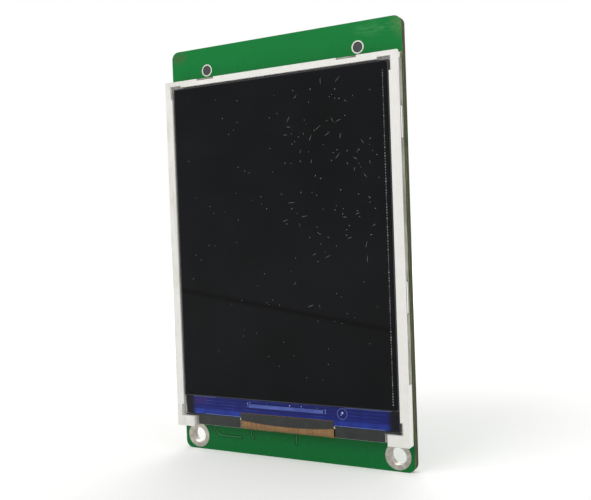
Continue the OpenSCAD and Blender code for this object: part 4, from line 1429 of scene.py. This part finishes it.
@dataclass
class Legend:
    """White printed legend on the rear: part outlines, the header's table, plain numbers and a bare block.
    A bracket is the middle and the half sizes of the corner marks round a small part."""

    line: float = 0.16
    fine_line: float = 0.12
    rule_line: float = 0.088
    lift: float = 0.03
    ink_gap: float = 0.005
    socket_x: tuple[float, float] = (-10.95, 1.4)
    socket_pitch: float = 1.25
    socket_outline: tuple[Point, ...] = (
        (-5.85, -0.1), (-5.8, 0.9), (-5.35, 1.5), (-5.3, 2.1), (-2.85, 2.1), (-2.85, 3.4),
        (2.85, 3.4), (2.85, 2.1), (5.75, 2.1), (5.75, 1.2), (6.05, 0.7), (6.05, -2.6),
    )
    socket_dot: Point = (1.95, 3.85)
    connector_line: tuple[Point, ...] = ((-17.0, 7.7), (-16.4, 7.7), (-16.4, 21.3), (-17.0, 21.3))
    controller_dot: Point = (5.15, -0.55)
    transistor_gap: float = 0.75
    transistor_inset: float = 0.2
    brackets: tuple[tuple[float, float, float, float], ...] = (
        (-15.15, 6.5, 1.5, 1.55),
        (-16.6, 40.8, 0.75, 1.55),
        (-17.6, 31.0, 1.55, 0.75),
        (-18.1, 51.3, 1.5, 1.55),
        (-7.5, 31.7, 0.75, 1.55),
    )
    bracket_leg: float = 0.5
    slanted_parts: tuple[Point, ...] = ((15.9, 16.45), (18.5, 19.2))
    slanted_half: Point = (0.9, 0.75)
    slant: float = 0.707
    table_x: tuple[float, float] = (-19.1, 18.75)
    table_z: tuple[float, float] = (59.7, 69.5)
    table_end: float = 78.2
    rule_inset: float = 0.1
    columns: int = 15
    pitch: float = 2.54
    digit: float = 1.45
    odd_row: float = 67.15
    even_row: float = 62.1
    small_digit: float = 1.0
    socket_row: float = 4.9
    part_numbers: tuple[tuple[str, float, float], ...] = (
        ("1", -9.1, 33.0), ("2", -9.1, 30.3), ("3", -20.9, 51.3), ("4", -15.3, 51.3), ("5", -13.2, 6.5),
    )
    ring_centre: Point = (12.9, 5.6)
    ring_radii: tuple[float, ...] = (1.1, 2.5, 3.5)
    tick_radii: tuple[float, float] = (2.65, 3.35)
    ticks: int = 24
    block_low: Point = (17.6, 4.3)
    block_high: Point = (23.4, 9.3)
    block_corner: float = 0.5
    block_inset: float = 0.4
    block_step: float = 1.25

    def strokes(self, draft: Draft, y: float, paths: Iterable[Sequence[Point]], width: float = 0.0) -> None:
        """Adds printed lines to a draft.

        Args:
            draft: what gets them.
            y: face that they lie on.
            paths: their centre lines.
            width: their width, or the common one if left out.
        """
        for path in paths:
            draft.slab(ribbon(path, width or self.line), y, y + self.lift)

    def part_outlines(self, y: float) -> None:
        """Prints the outlines of the sockets, the flex connector and the small parts.

        Args:
            y: face that they lie on.
        """
        draft = Draft()
        for c in self.socket_x:
            self.strokes(draft, y, [[(c + x, z) for x, z in self.socket_outline]])
            dot = (c + self.socket_dot[0], self.socket_dot[1])
            draft.slab(circle(dot, 0.16, 12), y, y + self.lift)
        self.strokes(draft, y, [self.connector_line])
        low = limits("touch_controller")[0]
        dot = (low.x + self.controller_dot[0], low.z + self.controller_dot[1])
        draft.slab(circle(dot, 0.22, 16), y, y + self.lift)
        low, high = limits("transistor")
        for x in (low.x - self.transistor_gap, high.x + self.transistor_gap):
            side = [(x, low.z + self.transistor_inset), (x, high.z - self.transistor_inset)]
            self.strokes(draft, y, [side])
        for side in (-1, 1):
            self.strokes(draft, y, self.bracket_marks(side), self.fine_line)
            self.strokes(draft, y, self.slanted_marks(side), self.fine_line)
        put("legend_outlines", draft.mesh("legend_outlines"), LEGEND.build())

    def bracket_marks(self, side: int) -> list[list[Point]]:
        """Gives the corner marks on one side of the upright small parts.

        Args:
            side: 1 for the upper marks, -1 for the lower ones.

        Returns:
            Their centre lines.
        """
        marks = []
        for x, z, half_x, half_z in self.brackets:
            near, far = z + side * (half_z - self.bracket_leg), z + side * half_z
            marks.append([(x - half_x, near), (x - half_x, far), (x + half_x, far), (x + half_x, near)])
        return marks

    def slanted_marks(self, side: int) -> list[list[Point]]:
        """Gives the lines along one side of the two slanted parts.

        Args:
            side: 1 or -1.

        Returns:
            Their centre lines.
        """
        half_a, half_b = self.slanted_half
        flat = [(-half_a, half_b * side), (half_a, half_b * side)]
        turned = [((a - b) * self.slant, (a + b) * self.slant) for a, b in flat]
        return [[(cx + x, cz + z) for x, z in turned] for cx, cz in self.slanted_parts]

    def table(self, y: float) -> None:
        """Prints the frame and the column rules of the table beside the header.

        Args:
            y: face that they lie on.
        """
        (x0, x1), (z0, z1) = self.table_x, self.table_z
        half_line = self.line / 2
        draft = Draft()
        self.strokes(draft, y, [[(x0, self.table_end), (x0, z0)], [(x1, z0), (x1, self.table_end)]])
        self.strokes(draft, y, [[(x0 - half_line, z0), (x1 + half_line, z0)], [(x0, z1), (x1, z1)]])
        rule = Draft()
        ends = [(0, z0 + self.rule_inset), (0, z1 - self.rule_inset)]
        rule.slab(ribbon(ends, self.rule_line), 0, self.lift)
        first = -(self.columns - 2) / 2 * self.pitch
        spots = [(first + i * self.pitch, y, 0.0) for i in range(self.columns - 1)]
        ink = LEGEND.build()
        rules = MotifRow("legend_table_rules", rule.mesh("table_rule"), ink, points=spots)
        put("legend_table_rules", rules.mesh())
        put("legend_table_frame", draft.mesh("legend_table_frame"), ink)

    def numbers(self, y: float) -> None:
        """Prints plain numbers at the header's columns, the sockets' contacts and some small parts.

        Args:
            y: face that they lie on.
        """
        gathered = bmesh.new()
        half = (self.columns - 1) / 2
        for i in range(self.columns):
            x = (i - half) * self.pitch
            number_mesh(gathered, str(2 * i + 1), (x, y, self.odd_row), self.digit, self.lift)
            number_mesh(gathered, str(2 * i + 2), (x, y, self.even_row), self.digit, self.lift)
        for c in self.socket_x:
            for i in range(4):
                at = (c + (i - 1.5) * self.socket_pitch, y, self.socket_row)
                number_mesh(gathered, str(i + 1), at, self.small_digit, self.lift)
        for text, x, z in self.part_numbers:
            number_mesh(gathered, text, (x, y, z), self.small_digit, self.lift)
        mesh = bpy.data.meshes.new("legend_numbers")
        gathered.to_mesh(mesh)
        gathered.free()
        put("legend_numbers", mesh, LEGEND.build())

    def plain_block(self, y: float) -> None:
        """Prints a ticked ring and a ruled box, which say nothing, on the free corner of the board.

        Args:
            y: face that they lie on.
        """
        draft = Draft()
        (cx, cz), half_line = self.ring_centre, self.line / 2
        for radius in self.ring_radii:
            draft.washer(self.ring_centre, radius - half_line, radius + half_line, y, y + self.lift, 48)
        for i in range(self.ticks):
            a = math.tau * i / self.ticks
            self.strokes(draft, y, [[(cx + r * math.cos(a), cz + r * math.sin(a)) for r in self.tick_radii]])
        (x0, z0), (x1, z1), cut = self.block_low, self.block_high, self.block_corner
        right = [(x1 - cut, z0), (x1, z0 + cut), (x1, z1 - cut), (x1 - cut, z1)]
        left = [(x0 + cut, z1), (x0, z1 - cut), (x0, z0 + cut), (x0 + cut, z0)]
        self.strokes(draft, y, [[(x0 + cut, z0)] + right + left])
        for k in (1, 2, 3):
            z = z0 + k * self.block_step
            self.strokes(draft, y, [[(x0 + self.block_inset, z), (x1 - self.block_inset, z)]])
        put("legend_plain_block", draft.mesh("legend_plain_block"), LEGEND.build())

    def build(self) -> None:
        """Prints all of it."""
        y = limits("circuit_board")[1].y + self.ink_gap
        self.part_outlines(y)
        self.table(y)
        self.numbers(y)
        self.plain_block(y)


def number_mesh(
    target: bmesh.types.BMesh, text: str, at: tuple[float, float, float], height: float, lift: float
) -> None:
    """Adds a printed number that faces the rear and reads toward -Z.

    Args:
        target: mesh that gets it.
        text: the digits.
        at: its middle, in millimetres.
        height: height of a digit, in millimetres.
        lift: thickness of the ink, in millimetres.
    """
    curve = bpy.data.curves.new("digits", "FONT")
    curve.body = text
    curve.align_x = "CENTER"
    curve.align_y = "CENTER"
    curve.size = height * DIGIT_TO_FONT * MM
    curve.extrude = lift / 2 * MM
    curve.resolution_u = DIGIT_CURVE_STEPS
    maker = bpy.data.objects.new("digits", curve)
    bpy.context.scene.collection.objects.link(maker)
    graph = bpy.context.evaluated_depsgraph_get()
    mesh = bpy.data.meshes.new_from_object(maker.evaluated_get(graph))
    turn = Matrix(((0, -1, 0), (0, 0, 1), (-1, 0, 0))).to_4x4()
    place = Matrix.Translation(Vector((at[0], at[1] + lift / 2, at[2])) * MM)
    mesh.transform(place @ turn)
    target.from_mesh(mesh)
    bpy.data.objects.remove(maker)
    bpy.data.curves.remove(curve)
    bpy.data.meshes.remove(mesh)


@dataclass
class HeaderJoints:
    """Domed solder joints over the feet of the pin header, and the bright rings of its peg holes."""

    columns: int = 15
    across: float = 0.64
    foot: float = 0.82
    rise: float = 0.62
    narrowing: float = 0.92
    flare: float = 1.35
    fullness: float = 0.9
    rings: int = 7
    sides: int = 20
    land_lift: float = 0.02
    ring_inner: float = 0.96
    ring_outer: float = 1.2
    ring_rise: float = 0.03

    def dome(self) -> bpy.types.Mesh:
        """Makes one joint: a smooth dome that flares out where it wets the land.

        Returns:
            Its mesh, with its foot at the origin.
        """
        draft = Draft()
        for k in range(self.rings):
            t = k / (self.rings - 1)
            spread = 1 - self.narrowing * t**self.flare
            y = self.rise * math.sin(math.pi / 2 * t) ** self.fullness
            for i in range(self.sides):
                a = math.tau * i / self.sides
                x, z = self.across * spread * math.cos(a), self.foot * spread * math.sin(a)
                draft.verts.append((x, y, z))
        top = (self.rings - 1) * self.sides
        for here in range(0, top, self.sides):
            after = here + self.sides
            for i in range(self.sides):
                j = (i + 1) % self.sides
                draft.faces.append((here + i, here + j, after + j, after + i))
        draft.faces.append(tuple(range(self.sides)))
        draft.faces.append(tuple(range(top + self.sides - 1, top - 1, -1)))
        mesh = draft.mesh("joint_dome")
        mesh.polygons.foreach_set("use_smooth", [True] * len(mesh.polygons))
        return mesh

    def build(self) -> None:
        """Places a joint on every header land and a ring round both pegs."""
        low, high = limits("header_body")
        board = limits("circuit_board")
        pitch = (high.x - low.x) / self.columns
        centre_z = (low.z + high.z) / 2
        reach = 1.4 * pitch + 0.12
        foot_y = board[1].y + self.land_lift
        columns = [(i - (self.columns - 1) / 2) * pitch for i in range(self.columns)]
        spots = [(x, foot_y, centre_z + side * reach) for x in columns for side in (-1, 1)]
        row = MotifRow("header_joints", self.dome(), JOINT.build(), 0.9, 1.1, 5, points=spots)
        put("header_joints", row.mesh(), stands_for=("header_solder",))
        rings = Draft()
        peg_x = (self.columns / 2 - 1) * pitch
        for x in (-peg_x, peg_x):
            face, top = board[0].y, board[0].y - self.ring_rise
            rings.washer((x, centre_z), self.ring_inner, self.ring_outer, face, top)
        put("peg_hole_rings", rings.mesh("peg_hole_rings"), PEG_RING.build())


@dataclass
class Screen:
    """Fine details on the glass: seal beads, dust, scratches, and the marks and painted highlights on the
    driver ledge.
    """

    skin: float = 0.008
    bead_pitch: float = 0.5
    bead: float = 0.07
    bead_inset: float = 0.75
    clear_edge: float = 2.0
    speck: tuple[Point, ...] = ((-0.11, 0), (-0.03, 0.055), (0.08, 0.045), (0.13, -0.01), (0.02, -0.06))
    scratch: tuple[Point, ...] = (
        (-0.5, 0), (-0.2, 0.045), (0.15, 0.06), (0.55, 0.01), (0.15, 0.015), (-0.2, 0.0),
    )
    # painted highlights along the lower and upper edges of the ledge varnish
    edge_glint: float = 0.1
    edge_glints_x: tuple[Point, ...] = ((-18.5, -10.2), (10.2, 20.3))
    top_glint: tuple[float, float] = (0.14, 0.06)
    top_glints_x: tuple[Point, ...] = ((-21.4, -16.0), (12.4, 21.6))
    mark_centre: Point = (11.9, 7.35)
    mark_radii: tuple[float, float] = (0.95, 1.03)
    # painted glint in the alignment mark: a bright disc with a short tail
    glint_centre: Point = (11.95, 7.55)
    glint_r: float = 0.2
    glint_tail: tuple[Point, Point] = ((11.6, 7.05), (11.8, 7.3))
    glint_tail_w: float = 0.14
    pad_r: float = 0.07
    pads_x: tuple[float, ...] = (-7.9, -4.2, 0.9, 3.4, 6.8)
    pad_gap: float = 0.25
    end_pads_x: float = 8.45
    end_pad_step: float = 0.3

    def seal_beads(self) -> None:
        """Dots the light seal line that shows inside the right edge of the glass."""
        low, high = limits("front_polarizer")
        count = int((high.z - low.z - 2) / self.bead_pitch)
        x, y = high.x - self.bead_inset, low.y - self.skin
        spots = [(x, y, low.z + 1 + i * self.bead_pitch) for i in range(count)]
        half_x, half_z = self.bead, self.bead * 1.8
        dot = Draft()
        dot.slab(box_outline(-half_x, -half_z, half_x, half_z), 0, self.skin * 2)
        row = MotifRow("seal_beads", dot.mesh("seal_bead"), SEAL_DOT.build(), 0.5, 1.15, 3, points=spots)
        put("seal_beads", row.mesh())

    def dust(self) -> None:
        """Scatters specks and hair scratches on the polarizer, more of them at the upper right."""
        low, high = limits("front_polarizer")
        y, right, top = low.y - self.skin / 2, high.x - self.clear_edge, high.z - self.clear_edge
        ink = DUST.build()
        shapes = {}
        for label, outline in (("speck", self.speck), ("scratch", self.scratch)):
            draft = Draft()
            draft.slab(outline, 0, self.skin)
            shapes[label] = draft.mesh(label)
        all_over = (low.x + self.clear_edge, low.z + 4, right, top)
        upper = (2.0, 38.0, right, high.z - 3)
        middle = (1.0, 27.0, right, top)
        zones = (
            ("screen_specks", "speck", all_over, 0.035, 0.4, 1.1, 11),
            ("screen_specks_upper", "speck", upper, 0.09, 0.5, 1.5, 23),
            ("screen_scratches", "scratch", middle, 0.05, 0.5, 1.5, 37),
        )
        for name, label, area, density, smallest, largest, seed in zones:
            spread = MotifScatter(
                name, shapes[label], ink, smallest, largest, seed, area=area, y=y, per_square_mm=density
            )
            put(name, spread.mesh())

    def glints(self, coat_low: Vector, coat_high: Vector) -> None:
        """Paints highlights along the ledge's edges, draws the ring of its alignment mark in the same light
        colour, and paints a glint in the mark.

        Args:
            coat_low: lowest corner of the varnish.
            coat_high: highest corner of the varnish.
        """
        y = coat_low.y - self.skin
        lines = Draft()
        for x0, x1 in self.edge_glints_x:
            lines.slab(box_outline(x0, coat_low.z, x1, coat_low.z + self.edge_glint), y, coat_low.y)
        for x0, x1 in self.top_glints_x:
            z0, z1 = (coat_high.z - drop for drop in self.top_glint)
            lines.slab(box_outline(x0, z0, x1, z1), y, coat_low.y)
        lines.washer(self.mark_centre, *self.mark_radii, y, coat_low.y)
        put("ledge_glints", lines.mesh("ledge_glints"), LEDGE_GLINT.build())
        # painted highlight: a bright metal disc and tail stand for the glint in the alignment mark
        marks = Draft()
        marks.slab(circle(self.glint_centre, self.glint_r, 16), y, coat_low.y)
        marks.slab(ribbon(self.glint_tail, self.glint_tail_w), y, coat_low.y)
        put("alignment_mark", marks.mesh("alignment_mark"), LEDGE_METAL_AND_GLINT.build())

    def ledge(self) -> None:
        """Draws the glints and the test pads round the driver chip."""
        coat_low, coat_high = limits("ledge_coating")
        chip_low, chip_high = limits("driver_chip")
        self.glints(coat_low, coat_high)
        y = coat_low.y - self.skin
        bump = Draft()
        bump.slab(circle((0, 0), self.pad_r, 8), 0, self.skin)
        spots = [(x, y, chip_high.z + self.pad_gap) for x in self.pads_x]
        first = chip_low.z + self.end_pad_step / 2
        for x in (-self.end_pads_x, self.end_pads_x):
            spots += [(x, y, first + self.end_pad_step * k) for k in range(3)]
        pad, metal = bump.mesh("test_pad"), LEDGE_METAL_AND_GLINT.build()
        row = MotifRow("ledge_test_pads", pad, metal, 0.6, 1.5, 9, points=spots)
        put("ledge_test_pads", row.mesh())

    def build(self) -> None:
        """Makes every screen detail."""
        self.seal_beads()
        self.dust()
        self.ledge()


# ---------------------------------------------------------------- studio


@dataclass(frozen=True)
class Panel:
    """A square soft lamp: its place and size in metres, and its power in watts."""

    name: str
    place: tuple[float, float, float]
    size: float
    power: float


@dataclass
class Studio:
    """Plain pale floor, soft light and the camera."""

    camera_place: tuple[float, float, float] = (73.66, -132.25, 40.98)
    camera_turn: tuple[float, float, float] = (88.71, 2.03, 28.318)
    lens: float = 48.0
    floor_size: float = 4.0
    floor_colour: str = "ececea"
    daylight: float = 0.62
    near_lift: float = 0.16
    far_lift: float = 0.6
    shadow_reach: float = 420.0
    aim_height: float = 38.0
    panels: tuple[Panel, ...] = (
        Panel("key_panel", (-0.25, -0.55, 0.6), 0.5, 2.3),
        Panel("side_panel", (0.6, -0.1, 0.3), 0.4, 1.1),
        Panel("rear_panel", (-0.2, 0.6, 0.5), 0.5, 1.7),
    )

    def camera(self) -> None:
        """Sets the camera in front of the module, to its right and level with its middle."""
        eye = bpy.data.objects.new("camera", bpy.data.cameras.new("camera"))
        bpy.context.scene.collection.objects.link(eye)
        turn = Euler([math.radians(a) for a in self.camera_turn]).to_matrix().to_4x4()
        eye.matrix_world = Matrix.Translation(Vector(self.camera_place) * MM) @ turn
        eye.data.lens = self.lens
        eye.data.clip_start = MM
        bpy.context.scene.camera = eye

    def seen_rays(self, tree: Tree) -> Socket:
        """Gives one for rays from the camera, from mirrors and through glass."""
        rays = ("Is Camera Ray", "Is Glossy Ray", "Is Transmission Ray")
        return either(tree, *(add_node(tree, "ShaderNodeLightPath", output=ray) for ray in rays))

    def world(self) -> None:
        """Makes a white surround whose light on the module is softer than what the eye and mirrors see."""
        world = bpy.data.worlds.new("surround")
        bpy.context.scene.world = world
        world.use_nodes = True
        tree = world.node_tree
        tree.nodes.clear()
        levels = {"Factor_Float": self.seen_rays(tree), "A_Float": self.daylight, "B_Float": 1.0}
        strength = add_node(tree, "ShaderNodeMix", {"data_type": "FLOAT"}, levels, "Result_Float")
        sky = add_node(tree, "ShaderNodeBackground", inputs={"Color": (1, 1, 1, 1), "Strength": strength})
        add_node(tree, "ShaderNodeOutputWorld", inputs={"Surface": sky})

    def paper(self, level: float) -> bpy.types.Material:
        """Makes the floor's pale paper, which brightens with distance and keeps the shadow near the module.

        Args:
            level: height of the floor in metres.

        Returns:
            The material.
        """
        paper = bpy.data.materials.new("pale_paper")
        paper.use_nodes = True
        tree = paper.node_tree
        tree.nodes.clear()
        matt = add_node(tree, "ShaderNodeBsdfDiffuse", inputs={"Color": linear(self.floor_colour)})
        near = blot(tree, (0, 0, level / MM), self.shadow_reach)
        span = {"Value": near, "To Min": self.far_lift, "To Max": self.near_lift}
        raised = add_node(tree, "ShaderNodeMapRange", inputs=span)
        glow = product(tree, self.seen_rays(tree), raised)
        lift = add_node(tree, "ShaderNodeEmission", inputs={"Color": (1, 1, 1, 1), "Strength": glow})
        both = add_node(tree, "ShaderNodeAddShader", inputs={"Shader": matt, "Shader_001": lift})
        add_node(tree, "ShaderNodeOutputMaterial", inputs={"Surface": both})
        return paper

    def floor(self) -> None:
        """Lays the floor under the board's lower edge."""
        half, level = self.floor_size / 2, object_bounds()[0].z
        mesh = bpy.data.meshes.new("studio_floor")
        corners = [(x, y, level) for x, y in box_outline(-half, -half, half, half)]
        mesh.from_pydata(corners, [], [(0, 1, 2, 3)])
        mesh.materials.append(self.paper(level))
        floor = bpy.data.objects.new("studio_floor", mesh)
        bpy.context.scene.collection.objects.link(floor)
        floor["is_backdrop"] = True

    def lamps(self) -> None:
        """Hangs large soft panels in front, at the right and behind."""
        for panel in self.panels:
            light = bpy.data.lights.new(panel.name, "AREA")
            light.size = panel.size
            light.energy = panel.power
            lamp = bpy.data.objects.new(panel.name, light)
            bpy.context.scene.collection.objects.link(lamp)
            lamp.location = panel.place
            aim = Vector((0, 0, self.aim_height * MM)) - Vector(panel.place)
            lamp.rotation_mode = "QUATERNION"
            lamp.rotation_quaternion = aim.to_track_quat("-Z", "Y")

    def build(self) -> None:
        """Sets up the whole studio."""
        bpy.context.scene.view_settings.view_transform = "Standard"
        self.camera()
        self.world()
        self.floor()
        self.lamps()


def dress_parts(nodes: dict[str, bpy.types.Object]) -> None:
    """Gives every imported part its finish.

    Args:
        nodes: the parts by name.
    """
    for finish, names in NODE_FINISHES.items():
        material = finish.build()
        for name in names:
            for place in nodes[name].material_slots:
                place.material = material
            LOG.info("%s: %s", name, finish.name)
    bare = set(nodes) - {n for names in NODE_FINISHES.values() for n in names}
    if bare:
        LOG.warning("parts without a finish: %s", sorted(bare))


def main() -> None:
    """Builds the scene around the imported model."""
    logging.basicConfig(level=logging.INFO, format="%(name)s: %(message)s")
    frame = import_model()
    dress_parts(frame["nodes"])
    steps: list[tuple[str, Callable[[], None]]] = [
        ("studio", Studio().build),
        ("conductors", Conductors(frame["nodes"]).build),
        ("legend", Legend().build),
        ("header joints", HeaderJoints().build),
        ("screen", Screen().build),
    ]
    for label, build in steps:
        build()
        LOG.info("%s done", label)


if __name__ == "__main__":
    main()
